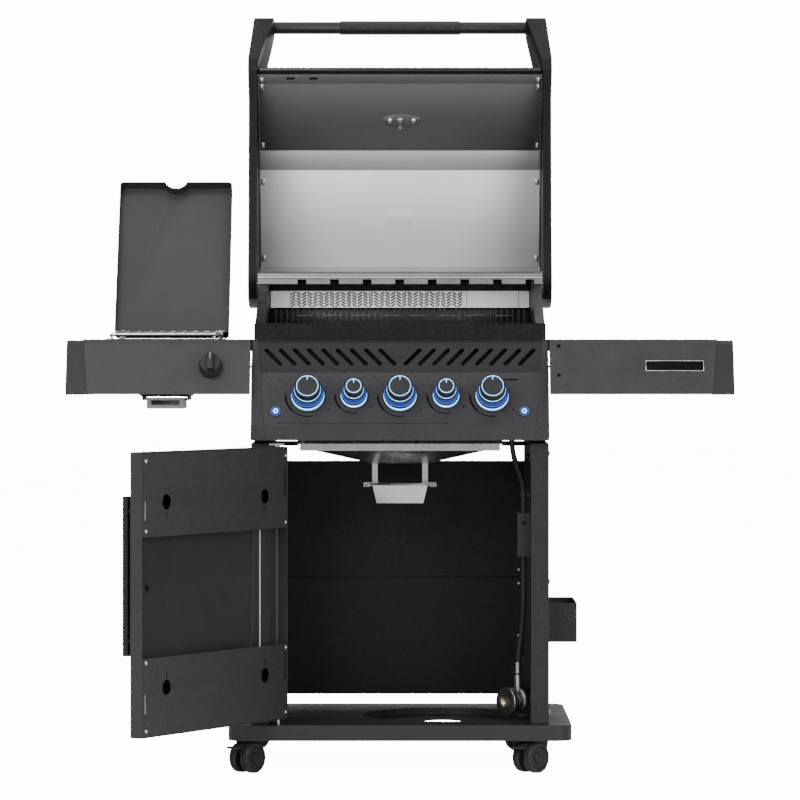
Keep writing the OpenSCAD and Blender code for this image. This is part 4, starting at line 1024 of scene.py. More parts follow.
@dataclass
class LidInside:
    """Sheets, brackets and fittings on the inside of the lid, modelled on the closed lid.

    Attributes:
        bench: Where the pieces are made.
        path: Inner line of the liner from its front lip to its back, in millimetres from the hinge.
        half: Half its width.
        sheet: Thickness of a lining sheet.
        stem_share: Where the thermometer comes through, along the front sheet.
    """

    bench: Bench
    path: Tuple[Ring, ...] = ((-463, -78), (-322, 48), (-285, 81), (-84, 187), (-22, 160), (14, 34))
    half: float = 0.3145
    sheet: float = 0.0009
    stem_share: float = 0.59

    def along(self, part: int) -> Tuple[Matrix, float]:
        """The place of one straight part of the path.

        Args:
            part: Number of the part, from the front.

        Returns:
            A place at its start, Y along it and Z outwards, turned open, and its length.
        """
        hinge = Vector(self.bench.joints["lid_hinge"]["pos_m"])
        (y0, z0), (y1, z1) = self.path[part], self.path[part + 1]
        turn = Matrix.Rotation(math.atan2(z1 - z0, y1 - y0), 4, "X")
        start = Vector((0.0, hinge.y + y0 * MM, hinge.z + z0 * MM))
        place = self.bench.drawn_open("lid_hinge") @ Matrix.Translation(start) @ turn
        return place, math.hypot(y1 - y0, z1 - z0) * MM

    def build(self) -> None:
        """Makes the sheets, then what is fixed to them."""
        # The liner's facets get painted shade, painted half light, painted light and painted half light, for
        # how each faces the lights.
        for part, finish in enumerate((LINER_SHADE_PAINTED, LINER_HALF_LIGHT_PAINTED, LINER_LIGHT_PAINTED, LINER_HALF_LIGHT_PAINTED)):
            place, length = self.along(part)
            panel = self.bench.block(f"lid_sheet_{part}", (-self.half, 0.0006, -self.sheet),
                                     (self.half, length - 0.0006, 0.0), 0.0003, 1)
            self.bench.fit(self.bench.settle(panel, place), "lid", finish)
        self._edge_seals()
        place, length = self.along(0)
        self._front_hem(place)
        self._thermometer_boss(place, length * self.stem_share)
        self._edge_brackets()
        middle, span = self.along(2)
        # The plaque takes the painted light of the pale facet.
        plaque = self.bench.block("lid_blank_plaque", (-0.03, span * 0.42, -self.sheet - 0.0006),
                                  (0.03, span * 0.56, -self.sheet), 0.0005, 2)
        self.bench.fit(self.bench.settle(plaque, middle), "lid", LINER_LIGHT_PAINTED)

    def _edge_seals(self) -> None:
        """Dark strips that close the gap between the sheets and the end castings."""
        near, far = self.half + 0.0006, self.half + 0.0034
        seals = []
        for part in range(4):
            place, length = self.along(part)
            for low, high in ((-far, -near), (near, far)):
                strip = self.bench.block("seal", (low, 0.0, 0.0017), (high, length, 0.0085), 0.0)
                seals.append(self.bench.settle(strip, place))
        self.bench.fit(self.bench.joined("lid_edge_seals", seals), "lid", PRINT)

    def _front_hem(self, place: Matrix) -> None:
        """The lid's rolled black lip, the folded strip behind it and its two slots.

        Args:
            place: Place of the front sheet.
        """
        lip = self.bench.block("lid_lip", (-self.half - 0.001, -0.0135, -0.0005),
                               (self.half + 0.001, -0.0004, 0.0098), 0.0035, 4)
        self.bench.fit(self.bench.settle(lip, place), "lid", ENAMEL)
        # The fold takes the painted shade of the front facet.
        fold = self.bench.block("lid_front_fold", (-self.half + 0.004, 0.001, -self.sheet - 0.0011),
                                (self.half - 0.004, 0.0215, -self.sheet), 0.0005, 2)
        self.bench.fit(self.bench.settle(fold, place), "lid", LINER_SHADE_PAINTED)
        slots = [self.bench.block(f"lid_fold_slot_{n}", (x - 0.0095, 0.0065, -self.sheet - 0.0016),
                                  (x + 0.0095, 0.0118, -self.sheet - 0.001), 0.0005, 2)
                 for n, x in enumerate((-0.244, -0.193))]
        self.bench.fit(self.bench.settle(self.bench.joined("lid_fold_slots", slots), place), "lid", PRINT)

    def _thermometer_boss(self, place: Matrix, up: float) -> None:
        """The pressed boss, its two domed nuts and the nut round the probe.

        Args:
            place: Place of the front sheet.
            up: How far along the sheet the probe stands.
        """
        inward = Matrix.Rotation(math.pi, 4, "X")
        boss = self.bench.turned("gauge_boss",
                                 [(0.0152, 0.0), (0.0148, 0.0012), (0.0136, 0.0028), (0.0118, 0.0037),
                                  (0.001, 0.004)], 64, angle=60.0)
        bpy.ops.transform.resize(value=(2.9, 1.0, 1.0), center_override=(0.0, 0.0, 0.0))
        self.bench.settle(boss, place @ Matrix.Translation((0.004, up + 0.0015, -self.sheet)) @ inward)
        # The boss takes the painted shade of the front facet.
        self.bench.fit(boss, "lid", LINER_SHADE_PAINTED)
        dome = self.bench.turned("gauge_boss_domes",
                                 [(0.0064, 0.0), (0.0064, 0.0012), (0.0056, 0.0032), (0.0036, 0.0046),
                                  (0.0012, 0.005)], 24, angle=60.0)
        places = [place @ Matrix.Translation((x, up, -self.sheet - 0.0038)) @ inward
                  for x in (-0.0225, 0.0305)]
        self.bench.fit(self.bench.copies(dome, places, "gauge_boss_domes"), "lid", CHROME)
        nut = self.bench.turned("gauge_nut",
                                [(0.0075, 0.0), (0.0075, 0.0034), (0.0066, 0.004), (0.0034, 0.004)], 6,
                                angle=20.0)
        self.bench.settle(nut, place @ Matrix.Translation((0.0, up, -self.sheet - 0.0039)) @ inward)
        self.bench.fit(nut, "lid", ZINC)

    def _edge_brackets(self) -> None:
        """Small clips and rivets where the sheets meet the end castings."""
        clips, heads = [], []
        inward = Matrix.Rotation(math.pi, 4, "X")
        for part, share in ((0, 0.07), (0, 0.16), (0, 0.93), (2, 0.12), (2, 0.9)):
            place, length = self.along(part)
            for side in (-1, 1):
                x, up = side * (self.half - 0.0055), length * share
                clip = self.bench.block("clip", (x - 0.0045, up - 0.007, -self.sheet - 0.0016),
                                        (x + 0.0045, up + 0.007, -self.sheet), 0.0006, 1)
                clips.append(self.bench.settle(clip, place))
                heads.append(place @ Matrix.Translation((x, up, -self.sheet - 0.0015)) @ inward)
        self.bench.fit(self.bench.joined("lid_edge_clips", clips), "lid", ZINC)
        Screw(0.0028, 0.0018).row(self.bench, "lid_edge_rivets", heads, "lid", CHROME)


@dataclass
class LidOutside:
    """The thermometer's dial, its rim, its marks and its pointer.

    Attributes:
        bench: Where the pieces are made.
        inside: The lid's lining, which gives the gauge's place.
        dial: Radius of the dial.
        ticks: Marks round the dial.
        sweep: Angle from the first mark to the last, in degrees.
    """

    bench: Bench
    inside: LidInside
    dial: float = 0.0325
    ticks: int = 24
    sweep: float = 280.0

    def build(self) -> None:
        """Makes the pieces on the gauge's face."""
        place, length = self.inside.along(0)
        face = max((place.inverted() @ v.co).z for v in frame["nodes"]["temperature_gauge"].data.vertices)
        at = place @ Matrix.Translation((0.0, length * self.inside.stem_share, face))
        plate = self.bench.turned("gauge_dial", [(self.dial, 0.0), (self.dial, 0.0004), (0.001, 0.0004)], 64)
        self.bench.fit(self.bench.settle(plate, at), "lid", DIAL_FACE)
        rim = self.bench.turned("gauge_rim",
                                [(self.dial, 0.0), (self.dial + 0.0045, 0.0), (self.dial + 0.0045, 0.0016),
                                 (self.dial + 0.0015, 0.003), (self.dial, 0.0016)], 72, closed=True)
        self.bench.fit(self.bench.settle(rim, at), "lid", CHROME)
        mark = self.bench.block("gauge_ticks", (-0.0004, self.dial - 0.006, 0.0004),
                                (0.0004, self.dial - 0.0015, 0.0006), 0.0)
        span = math.radians(self.sweep)
        turns = [at @ Matrix.Rotation(span * (n / (self.ticks - 1) - 0.5), 4, "Z") for n in range(self.ticks)]
        self.bench.fit(self.bench.copies(mark, turns, "gauge_ticks"), "lid", PRINT)
        needle = self.bench.block("gauge_needle", (-0.0006, -0.008, 0.0007),
                                  (0.0006, self.dial - 0.008, 0.0012), 0.0002, 1)
        hub = self.bench.turned("gauge_hub",
                                [(0.0026, 0.0004), (0.0026, 0.0016), (0.0016, 0.0022), (0.0004, 0.0022)], 20)
        pointer = self.bench.joined("gauge_pointer", [needle, hub])
        self.bench.settle(pointer, at @ Matrix.Rotation(span / 2, 4, "Z"))
        self.bench.fit(pointer, "lid", PRINT)


@dataclass
class RearBurner:
    """Infrared rear burner: guard painted pale for its sheen, with herringbone slots over a dark tile, and
    the ribbed baffle.

    Attributes:
        bench: Where the pieces are made.
        columns: Columns of slots.
        pitch: From one column to the next.
        rows: Slots in a column.
        rise: From one slot to the next, upwards.
        tilt: Slope of a slot.
        seams: Where one panel of the guard ends and the next begins.
        ribs: Ribs of the baffle.
        louvres: Louvres of the baffle.
        louvre_pitch: From one louvre to the next.
    """

    bench: Bench
    columns: int = 31
    pitch: float = 0.0123
    rows: int = 5
    rise: float = 0.0064
    tilt: float = 38.0
    seams: Tuple[float, ...] = (-0.2425, -0.1115, 0.0195, 0.148, 0.2625)
    ribs: int = 45
    louvres: int = 8
    louvre_pitch: float = 0.063

    def build(self) -> List[str]:
        """Makes the guard, the tile and the baffle.

        Returns:
            The nodes that they stand for.
        """
        low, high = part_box("rear_burner")
        sill = low.z + 0.048
        self._guard(low, high, sill)
        self._baffle(low, high, sill)
        return ["rear_burner"]

    def _guard(self, low: Vector, high: Vector, sill: float) -> None:
        """The slotted front and the housing behind it.

        Args:
            low: Lowest corner of the CAD node.
            high: Its highest corner.
            sill: Height of the guard's lower edge.
        """
        front = low.y + 0.0001
        plate = self.bench.block("rear_guard", (low.x, front, sill), (high.x, front + 0.002, high.z),
                                 0.0003, 1)
        slot = self.bench.block("slot", (-0.0058, -0.003, -0.0014), (0.0058, 0.003, 0.0014), 0.0, 1)
        places = []
        first = self.seams[0] + 0.5 * self.pitch
        for column in range(self.columns):
            lean = Matrix.Rotation(math.radians(self.tilt if column % 2 else -self.tilt), 4, "Y")
            for row in range(self.rows):
                up = (sill + high.z) / 2 + (row - (self.rows - 1) / 2) * self.rise
                places.append(Matrix.Translation((first + column * self.pitch, front + 0.001, up)) @ lean)
        cutter = self.bench.copies(slot, places, "slots")
        self.bench.pick(plate)
        bpy.ops.object.modifier_add(type="BOOLEAN")
        cut = plate.modifiers[-1]
        cut.operation = "DIFFERENCE"
        cut.object = cutter
        cut.solver = "EXACT"
        bpy.ops.object.modifier_apply(modifier=cut.name)
        bpy.data.objects.remove(cutter)
        self.bench.pick(plate)
        bpy.ops.object.shade_flat()
        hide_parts("rear_burner")
        # Painted sheen on the stainless guard.
        self.bench.fit(plate, "cart", GUARD_SHEEN_PAINTED, "stainless")
        case = self.bench.block("rear_burner_case", (low.x + 0.001, front + 0.0055, sill + 0.0005),
                                (high.x - 0.001, high.y, high.z - 0.0005), 0.001)
        self.bench.fit(case, "cart", STAINLESS)
        tile = self.bench.block("rear_burner_tile", (self.seams[0], front + 0.0028, sill + 0.002),
                                (self.seams[3], front + 0.0054, high.z - 0.002), 0.0004, 1)
        self.bench.fit(tile, "cart", PRINT)
        lines = [self.bench.block("seam", (x - 0.0005, front - 0.0001, sill + 0.0005),
                                  (x + 0.0005, front + 0.0004, high.z - 0.0005), 0.0) for x in self.seams]
        self.bench.fit(self.bench.joined("rear_guard_seams", lines), "cart", PRINT)
        heads = [aimed(Vector((x + s, front, up)), Vector((0.0, -1.0, 0.0))) for x in self.seams[1:3]
                 for s in (-0.0045, 0.0045) for up in (sill + 0.003, high.z - 0.003)]
        Screw(0.0016, 0.0008).row(self.bench, "rear_guard_rivets", heads, "cart", ZINC)

    def _baffle(self, low: Vector, high: Vector, sill: float) -> None:
        """The dark ribbed wall under the guard, with its louvres.

        Args:
            low: Lowest corner of the CAD node.
            high: Its highest corner.
            sill: Height of the baffle's upper edge.
        """
        face = low.y + 0.0115
        wall = self.bench.block("rear_baffle", (low.x, face, low.z), (high.x, face + 0.0012, sill - 0.0005),
                                0.0003, 1)
        self.bench.fit(wall, "cart", FRAME_PAINT)
        inset = 0.01
        step = (high.x - low.x - 2 * inset) / (self.ribs - 1)
        rib = self.bench.block("rear_baffle_ribs", (-0.0026, face - 0.0022, low.z + 0.001),
                               (0.0026, face + 0.0004, sill - 0.002), 0.0018, 3)
        places = [Matrix.Translation((low.x + inset + n * step, 0.0, 0.0)) for n in range(self.ribs)]
        self.bench.fit(self.bench.copies(rib, places, "rear_baffle_ribs"), "cart", FRAME_PAINT)
        hood = self.bench.block("rear_louvres", (-0.0195, face - 0.0042, low.z + 0.0285),
                                (0.0195, face - 0.0018, low.z + 0.0315), 0.001, 2)
        places = [Matrix.Translation((-0.21 + n * self.louvre_pitch, 0.0, 0.0)) for n in range(self.louvres)]
        self.bench.fit(self.bench.copies(hood, places, "rear_louvres"), "cart", GRID_STEEL, "grid_iron")


@dataclass
class PanelTrim:
    """Printed marks on the control panel: a scale by each knob, plain bars and a thin line.

    Attributes:
        bench: Where the pieces are made.
        proud: Thickness of the print.
    """

    bench: Bench
    proud: float = 0.00018

    def build(self) -> None:
        """Makes the marks."""
        arcs, marks = [], []
        for number in KNOBS:
            place = self.bench.facing(f"knob_{number}_turn")
            radius = (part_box(f"knob_{number}")[1].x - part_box(f"knob_{number}")[0].x) / 2
            far = radius + 0.0145
            thick = self._arc(far - 0.0042, far, ((0.0, 1.0, 0.0), (1.5, -1.0, 0.0)))
            arcs.append(self.bench.settle(thick, place))
            thin = self._arc(far - 0.003, far - 0.0008, ((-1.5, 1.0, 0.0), (1.0, 0.2, 0.0)))
            arcs.append(self.bench.settle(thin, place))
            for x, y, size in ((radius + 0.0095, -radius * 0.92, 0.0018),
                               (-radius - 0.0125, radius * 0.1, 0.0012),
                               (-radius * 0.98, radius * 0.72, 0.0007), (0.0, radius + 0.0105, 0.0012)):
                low, high = (x - size, y - size, 0.0), (x + size, y + size, self.proud)
                marks.append(self.bench.settle(self.bench.block("mark", low, high, 0.0), place))
        self.bench.fit(self.bench.joined("panel_scales", arcs), "cart", PRINT)
        middle = self.bench.facing("knob_3_turn")
        for low, high in (((-0.2545, -0.0625), (0.0985, -0.0619)), ((0.209, 0.0345), (0.247, 0.0378)),
                          ((-0.2556, -0.0635), (-0.2534, -0.0609)), ((0.0975, -0.0635), (0.0997, -0.0609))):
            bar = self.bench.block("bar", (*low, 0.0), (*high, self.proud), 0.0)
            marks.append(self.bench.settle(bar, middle))
        self.bench.fit(self.bench.joined("panel_marks", marks), "cart", PRINT)

    def _arc(self, inner: float, outer: float, cuts: Sequence[Point]) -> bpy.types.Object:
        """A part of a flat ring at the lower left.

        Args:
            inner: Inner radius.
            outer: Outer radius.
            cuts: Direction of what is cut away on each side.

        Returns:
            The arc, about Z.
        """
        ring = self.bench.turned("arc",
                                 [(inner, 0.0), (outer, 0.0), (outer, self.proud), (inner, self.proud)], 72,
                                 closed=True)
        for normal in cuts:
            self.bench.pick(ring)
            bpy.ops.object.mode_set(mode="EDIT")
            bpy.ops.mesh.select_all(action="SELECT")
            bpy.ops.mesh.bisect(plane_co=(0.0, 0.0, 0.0), plane_no=normal, use_fill=True, clear_outer=True)
            bpy.ops.object.mode_set(mode="OBJECT")
        return ring


@dataclass
class DoorInside:
    """Bead chain, screws, bright slots and strike on the inside of the door, modelled on the closed door.

    Attributes:
        bench: Where the pieces are made.
        inner: Depth at which the door's inner plates stand, in millimetres from the shelf's edge.
        plates: Lower and upper edge of each inner plate.
        beads: Beads of the chain.
    """

    bench: Bench
    inner: float = 35.0
    plates: Tuple[Ring, ...] = ((115.0, 271.0), (513.0, 681.0))
    beads: int = 66

    def build(self) -> None:
        """Makes the fittings."""
        turn = self.bench.drawn_open("door_hinge")
        back = Vector((0.0, 1.0, 0.0))
        bead = self.bench.turned("door_chain",
                                 [(0.0006, -0.0019), (0.0016, -0.0013), (0.0023, 0.0), (0.0016, 0.0013),
                                  (0.0006, 0.0019)], 10, angle=80.0)
        low, high = self.plates[0][1] - 1, self.plates[1][0] + 1
        rise = (high - low) / (self.beads - 1)
        places = [turn @ Matrix.Translation(spot(-176.0, self.inner - 9.0, low + n * rise))
                  for n in range(self.beads)]
        self.bench.fit(self.bench.copies(bead, places, "door_chain"), "door", CHROME)
        heads = []
        for z0, z1 in self.plates:
            for x in (-263.0, 255.0):
                for z in (z0 + 12, z1 - (16 if z1 > 600 else 8)):
                    heads.append(turn @ aimed(spot(x, self.inner, z), back))
        Screw(0.0042, 0.0022).row(self.bench, "door_plate_screws", heads, "door", CHROME)
        slots = []
        for z0, z1 in ((546.0, 587.0), (161.0, 202.0)):
            slots.append(self.bench.block("slot", spot(254.6, self.inner - 0.9, z0),
                                          spot(258.9, self.inner - 0.1, z1), 0.0003, 1))
        self.bench.fit(self.bench.settle(self.bench.joined("door_slots_bright", slots), turn), "door", ZINC)
        self._catch(turn)

    def _catch(self, turn: Matrix) -> None:
        """The dark strike of the catch at the free edge.

        Args:
            turn: Turns the closed door to where it is drawn.
        """
        back = Vector((0.0, 1.0, 0.0))
        stud = self.bench.turned("door_strike",
                                 [(0.0075, 0.0), (0.0075, 0.0016), (0.0042, 0.0022), (0.0042, 0.0075),
                                  (0.0054, 0.0088), (0.0054, 0.0102), (0.004, 0.0112), (0.0008, 0.0114)],
                                 32, angle=50.0)
        plate = self.bench.block("door_strike_plate", (-0.014, -0.006, 0.0), (0.009, 0.006, 0.0012), 0.0008,
                                 2)
        piece = self.bench.joined("door_strike", [stud, plate])
        self.bench.settle(piece, turn @ aimed(spot(217.0, self.inner - 26.4, 409.0), back))
        self.bench.fit(piece, "door", PLASTIC)


@dataclass
class Casters:
    """Twin wheels with grooved treads and hub caps, on hooded forks.

    Attributes:
        bench: Where the pieces are made.
        radius: Radius of a wheel.
        width: Width of a tread.
        gap: Gap between the treads.
    """

    bench: Bench
    radius: float = 0.032
    width: float = 0.018
    gap: float = 0.014

    def build(self) -> List[str]:
        """Makes the wheels and the forks of all four casters.

        Returns:
            The nodes that they stand for.
        """
        replaced = []
        for corner in CORNERS:
            axle = self.bench.joints[f"roll_{corner}"]
            place = aimed(Vector(axle["pos_m"]), Vector(axle["axis"]))
            self._wheels(corner, place)
            self._fork(corner)
            replaced += [f"wheels_{corner}", f"caster_fork_{corner}"]
        return replaced

    def _wheels(self, corner: str, place: Matrix) -> None:
        """Two treads on their axle.

        Args:
            corner: Which caster.
            place: Its axle's middle, Z along the axle.
        """
        body = f"wheels_{corner}"
        r, half, out = self.radius, self.gap / 2, self.gap / 2 + self.width
        rings = [(r * 0.8, half), (r - 0.0022, half), (r - 0.0004, half + 0.0018), (r, half + 0.0045),
                 (r, half + 0.0078), (r - 0.0009, half + 0.0082), (r - 0.0009, half + 0.0098),
                 (r, half + 0.0102), (r, out - 0.0045), (r - 0.0006, out - 0.0018), (r - 0.0026, out),
                 (r * 0.8, out)]
        tread = self.bench.turned(body + "_treads", rings, 72, closed=True)
        other = Matrix.Rotation(math.pi, 4, "X")
        self.bench.copies(tread, [place, place @ other], body + "_treads")
        treads = bpy.context.object
        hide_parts(body)
        self.bench.fit(treads, body, WHEEL_PLASTIC)
        hub = self.bench.turned(body + "_hubs",
                                [(0.006, half - 0.001), (r * 0.8, half + 0.0006), (r * 0.8, out - 0.0016),
                                 (r * 0.72, out - 0.0006), (r * 0.66, out - 0.003),
                                 (r * 0.34, out - 0.0036), (r * 0.3, out - 0.0006),
                                 (r * 0.22, out + 0.0002), (0.002, out + 0.0004)], 60)
        self.bench.copies(hub, [place, place @ other], body + "_hubs")
        self.bench.fit(bpy.context.object, body, PLASTIC)
        pin = self.bench.turned(body + "_axle", [(0.0038, -half - 0.001), (0.0038, half + 0.001)], 24)
        self.bench.fit(self.bench.settle(pin, place), body, ZINC)

    def _fork(self, corner: str) -> None:
        """The swivelling fork, eased, with its raceway.

        Args:
            corner: Which caster.
        """
        node = f"caster_fork_{corner}"
        self.bench.eased(node, 0.0012, PLASTIC, 3)
        top = Vector(self.bench.joints[f"swivel_{corner}"]["pos_m"])
        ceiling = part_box("caster_plates")[0].z
        race = self.bench.turned(f"caster_race_{corner}",
                                 [(0.0165, 0.0), (0.018, 0.0008), (0.018, 0.0042), (0.0165, 0.005),
                                  (0.01, 0.005)], 40)
        self.bench.settle(race, Matrix.Translation((top.x, top.y, ceiling - 0.0058)))
        self.bench.fit(race, self.bench.body_of[node], ZINC)


@dataclass
class GasFittings:
    """Hand wheel of the coupling nut, hose and its ferrules.

    Attributes:
        bench: Where the pieces are made.
        grips: Lobes round the hand wheel.
        threads: Turns of thread in its mouth.
        thread_pitch: From one turn to the next.
    """

    bench: Bench
    grips: int = 20
    threads: int = 5
    thread_pitch: float = 0.0022

    def build(self) -> List[str]:
        """Makes the fittings.

        Returns:
            The nodes that they stand for.
        """
        self._hand_wheel()
        self._hose()
        return ["coupling_nut", "gas_hose"]

    def _hand_wheel(self) -> None:
        """The lobed hand wheel with its threaded mouth."""
        joint = self.bench.joints["coupling_nut_turn"]
        place = aimed(Vector(joint["pos_m"]), Vector(joint["axis"]))
        points = [place.inverted() @ v.co for v in frame["nodes"]["coupling_nut"].data.vertices]
        depth = [point.z for point in points]
        reach = [point.xy.length for point in points]
        z0, z1, r, bore = min(depth), max(depth), max(reach), min(reach)
        waist = (z0 + z1) / 2
        rings = [(bore + 0.0004, z0), (r * 0.62, z0), (r * 0.66, z0 + 0.002), (r * 0.66, waist - 0.003),
                 (r * 0.97, waist - 0.001), (r * 0.995, waist + 0.001), (r * 0.995, z1 - 0.003),
                 (r * 0.95, z1 - 0.0008), (bore + 0.006, z1), (bore + 0.003, z1 - 0.001),
                 (bore + 0.0004, z1 - 0.003)]
        sides = 2 * self.grips
        wheel = self.bench.turned("hand_wheel", rings, sides, closed=True, angle=40.0)
        step = 2 * math.pi / self.grips

        def is_hollow(face: bpy.types.MeshPolygon) -> bool:
            """Tells whether a face of the rim lies between two lobes."""
            middle = face.center
            between = math.atan2(middle.y, middle.x) % step < step / 2
            return between and middle.xy.length > r * 0.97 and abs(face.normal.z) < SIDE_ON

        self.bench.sunk(wheel, is_hollow, 0.0012, 0.0016)
        self.bench.settle(wheel, place)
        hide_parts("coupling_nut")
        self.bench.fit(wheel, "coupling_nut", STAINLESS)
        threads = []
        for n in range(self.threads):
            z = z1 - 0.0035 - n * self.thread_pitch
            thread = self.bench.turned("thread",
                                       [(bore - 0.0001, z), (bore + 0.0008, z - 0.0009),
                                        (bore + 0.0008, z + 0.0009)], 40, closed=True)
            threads.append(self.bench.settle(thread, place))
        self.bench.fit(self.bench.joined("hand_wheel_thread", threads), "coupling_nut", BRASS)

    def _hose(self) -> None:
        """The hose, rounded, with a crimped ferrule at each end."""
        hose = self.bench.copied_node("gas_hose")
        self.bench.pick(hose)
        bpy.ops.object.modifier_add(type="SUBSURF")
        hose.modifiers[-1].levels = 1
        bpy.ops.object.modifier_apply(modifier=hose.modifiers[-1].name)
        bpy.ops.object.shade_smooth_by_angle(angle=math.radians(60))
        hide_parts("gas_hose")
        self.bench.fit(hose, "cart", RUBBER)
        rings = [(0.0064, 0.0), (0.0078, 0.0008), (0.0078, 0.006), (0.007, 0.0066), (0.007, 0.009),
                 (0.0078, 0.0096), (0.0078, 0.015), (0.007, 0.0156), (0.007, 0.018), (0.0078, 0.0186),
                 (0.0078, 0.023), (0.0064, 0.024)]
        ferrules = []
        for at in (spot(250, 120, 201), spot(236, 66, 729)):
            ferrule = self.bench.turned("ferrule", rings, 32, closed=True)
            ferrules.append(self.bench.settle(ferrule, Matrix.Translation(at)))
        self.bench.fit(self.bench.joined("hose_ferrules", ferrules), "cart", ZINC)


@dataclass
class Fasteners:
    """Screws and bolts of the cart, the right shelf's blank badge, a rod of the rack and a seam strip.

    Attributes:
        bench: Where the pieces are made.
        badge_shift: From a place on the left shelf's fascia to the same place on the right one.
    """

    bench: Bench
    badge_shift: float = 0.792

    def build(self) -> None:
        """Makes the screws and bolts, then the badge and the small parts."""
        front, left, right = Vector((0, -1, 0)), Vector((-1, 0, 0)), Vector((1, 0, 0))
        low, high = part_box("back_panels")
        heads = [aimed(Vector((x, low.y, z)), front) for x in (low.x + 0.012, high.x - 0.012)
                 for z in (0.14, 0.255, 0.37, 0.4, 0.51, 0.626)]
        Screw(0.0035, 0.002).row(self.bench, "back_panel_screws", heads, "cart", ZINC)
        low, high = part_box("side_frames")
        heads = [aimed(Vector((x, y, z)), out) for x, out in ((low.x, left), (high.x, right))
                 for y in (low.y + 0.019, high.y - 0.019) for z in (0.125, 0.4, 0.668)]
        Screw(0.0055, 0.003).row(self.bench, "side_frame_bolts", heads, "cart", ZINC)
        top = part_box("caster_plates")
        for corner in CORNERS:
            at = Vector(self.bench.joints[f"swivel_{corner}"]["pos_m"])
            heads = [aimed(Vector((at.x + dx, at.y + dy, top[0].z + 0.0001)), Vector((0, 0, -1)))
                     for dx in (-0.024, 0.024) for dy in (-0.024, 0.024)]
            Screw(0.004, 0.0024).row(self.bench, f"caster_bolts_{corner}", heads, "cart", ZINC)
        self._badge()
        self._rack_rod()
        self._seam_strip()

    def _rack_rod(self) -> None:
        """The bright rod along the front of the warming rack."""
        low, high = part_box("warming_rack")
        rod = self.bench.rod("rack_front_rod", Vector((low.x, low.y - 0.0004, low.z + 0.0134)),
                             Vector((high.x, low.y - 0.0004, low.z + 0.0134)), 0.0016, 20)
        self.bench.fit(rod, "warming_rack", CHROME)

    def _seam_strip(self) -> None:
        """The strip behind the gap of the two back panels."""
        low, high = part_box("back_panels")
        strip = self.bench.block("back_seam_strip", (low.x + 0.002, low.y + 0.0016, 0.376),
                                 (high.x - 0.002, low.y + 0.0026, 0.392))
        self.bench.fit(strip, "cart", PANEL_PAINT)

    def _badge(self) -> None:
        """A blank framed plate on the right fascia and two blank marks."""
        side = self.bench.facing("side_knob_turn")
        place = Matrix.Translation((self.badge_shift, 0.0, 0.0)) @ side
        plate = self.bench.block("blank_badge", (0.118, -0.008, 0.0001), (0.24, 0.016, 0.0012), 0.0006, 2)
        self.bench.fit(self.bench.settle(plate, place), "cart", PRINT)
        rim = []
        for low, high in (((0.118, 0.0145), (0.24, 0.016)), ((0.118, -0.008), (0.24, -0.0065)),
                          ((0.118, -0.008), (0.1195, 0.016)), ((0.2385, -0.008), (0.24, 0.016))):
            bar = self.bench.block("rim", (*low, 0.0011), (*high, 0.0016), 0.0002, 1)
            rim.append(self.bench.settle(bar, place))
        self.bench.fit(self.bench.joined("blank_badge_rim", rim), "cart", ZINC)
        marks = []
        for y in (-0.017, 0.049):
            mark = self.bench.block("mark", (-0.067, y - 0.0035, 0.0001), (-0.06, y + 0.0035, 0.0008),
                                    0.0006, 2)
            marks.append(self.bench.settle(mark, place))
        self.bench.fit(self.bench.joined("fascia_marks", marks), "cart", PRINT)


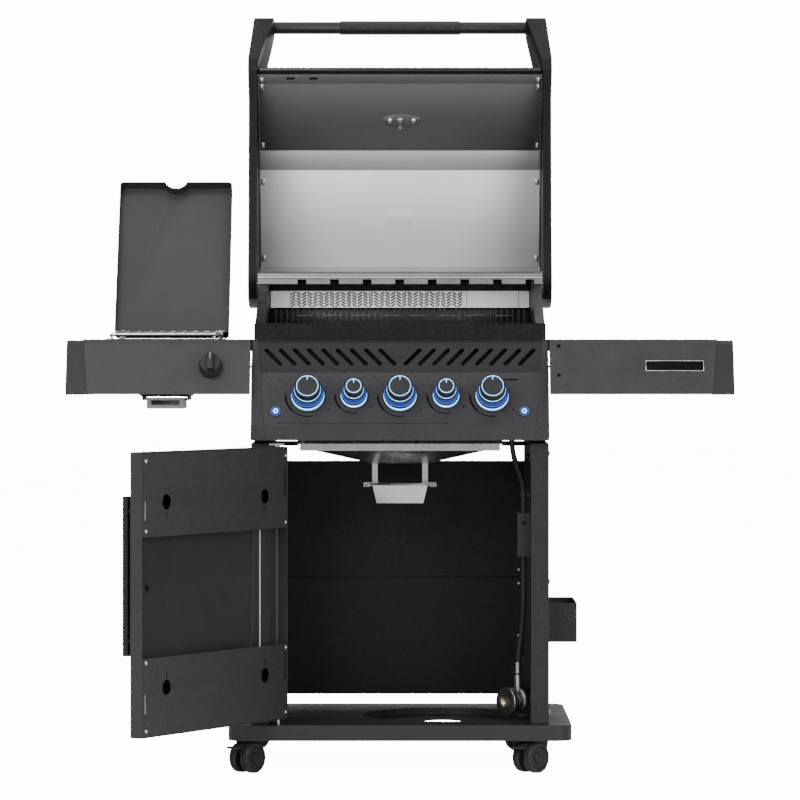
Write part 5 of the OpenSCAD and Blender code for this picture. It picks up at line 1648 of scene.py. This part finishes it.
@dataclass
class Studio:
    """Floor, lights and camera.

    Attributes:
        distance: From the camera to the front edge of the bottom shelf.
        eye: Height of the camera.
        lens: Focal length in millimetres.
        sensor: Width of the camera's sensor in millimetres.
        drop: Downward shift of the view, as a share of its width.
        room: Strength of the even light.
        backdrop: Brightness of the wall behind.
        floor_glow: How far the floor is burnt out, for the camera alone.
        floor_size: Length of the floor's side.
    """

    distance: float = 9.0
    eye: float = 0.9065
    lens: float = 193.8
    sensor: float = 36.0
    drop: float = 0.075
    room: float = 0.4
    backdrop: float = 14.0
    floor_painted_spill: float = 13.0
    floor_size: float = 60.0

    def build(self, bench: Bench) -> None:
        """Sets the floor, the lights and the camera.

        Args:
            bench: Where the floor is made.
        """
        self._camera()
        self._floor(bench)
        self._world()
        self._softbox("key_light", (-2.4, -4.8, 3.0), (0.0, 0.0, 0.9), 3.4, 230.0)
        self._softbox("fill_light", (3.0, -4.6, 2.2), (0.0, 0.0, 0.8), 3.0, 150.0)
        self._softbox("top_light", (0.0, -0.2, 4.2), (0.0, 0.1, 0.8), 3.2, 70.0)
        self._softbox("rim_light", (1.8, 3.4, 3.0), (0.0, 0.0, 1.0), 2.4, 90.0)

    def _camera(self) -> None:
        """Stands a level camera straight in front of the cart."""
        shelf_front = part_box("base_shelf")[0].y
        data = bpy.data.cameras.new("camera")
        data.lens = self.lens
        data.sensor_width = self.sensor
        data.shift_y = -self.drop
        data.clip_end = 100.0
        camera = bpy.data.objects.new("camera", data)
        camera.location = (0.0, shelf_front - self.distance, self.eye)
        camera.rotation_euler = (math.radians(90), 0.0, 0.0)
        bpy.context.scene.collection.objects.link(camera)
        bpy.context.scene.camera = camera

    def _floor(self, bench: Bench) -> None:
        """Lays a plain pale floor."""
        bench.clear()
        bpy.ops.mesh.primitive_plane_add(size=self.floor_size, location=(0.0, 0.0, 0.0))
        floor = bpy.context.object
        floor.name = "floor"
        material = bpy.data.materials.new("pale_floor")
        material.use_nodes = True
        shader = material.node_tree.nodes["Principled BSDF"]
        shader.inputs["Base Color"].default_value = (0.9, 0.9, 0.9, 1.0)
        shader.inputs["Roughness"].default_value = 0.6
        shader.inputs["Emission Color"].default_value = (1.0, 1.0, 1.0, 1.0)
        nodes, link = material.node_tree.nodes, material.node_tree.links.new
        ray = added(nodes, "LightPath")
        bright = added(nodes, "Math", {1: self.floor_painted_spill}, "MULTIPLY")
        link(ray.outputs["Is Camera Ray"], bright.inputs[0])
        link(bright.outputs[0], shader.inputs["Emission Strength"])
        floor.data.materials.append(material)

    def _world(self) -> None:
        """Fills the room with even pale light."""
        world = bpy.context.scene.world or bpy.data.worlds.new("studio")
        bpy.context.scene.world = world
        world.use_nodes = True
        nodes, link = world.node_tree.nodes, world.node_tree.links.new
        room = nodes["Background"]
        room.inputs["Color"].default_value = (1.0, 1.0, 1.0, 1.0)
        room.inputs["Strength"].default_value = self.room
        backdrop = added(nodes, "Background", {"Color": (1.0, 1.0, 1.0, 1.0), "Strength": self.backdrop})
        ray = added(nodes, "LightPath")
        pick = added(nodes, "MixShader")
        link(ray.outputs["Is Camera Ray"], pick.inputs["Fac"])
        link(room.outputs["Background"], pick.inputs[1])
        link(backdrop.outputs["Background"], pick.inputs[2])
        link(pick.outputs["Shader"], nodes["World Output"].inputs["Surface"])

    @staticmethod
    def _softbox(name: str, at: Point, toward: Point, size: float, power: float) -> None:
        """Hangs a square softbox.

        Args:
            name: Name of the light.
            at: Where it hangs.
            toward: Where it points.
            size: Length of its side.
            power: Its power in watts.
        """
        data = bpy.data.lights.new(name, "AREA")
        data.size = size
        data.energy = power
        light = bpy.data.objects.new(name, data)
        light.location = at
        light.rotation_euler = (Vector(toward) - Vector(at)).to_track_quat("-Z", "Y").to_euler()
        bpy.context.scene.collection.objects.link(light)


def main() -> None:
    """Builds the grill's looks, sub-assembly by sub-assembly."""
    logging.basicConfig(level=logging.INFO, format="%(message)s")
    bench = Bench(Surfaces())
    Studio().build(bench)
    replaced = LitKnobs(bench).build()
    replaced += RearBurner(bench).build() + Casters(bench).build() + GasFittings(bench).build()
    inside = LidInside(bench)
    inside.build()
    LidOutside(bench, inside).build()
    PanelTrim(bench).build()
    DoorInside(bench).build()
    Fasteners(bench).build()
    CarriedParts(bench).build(replaced)


if __name__ == "__main__":
    main()
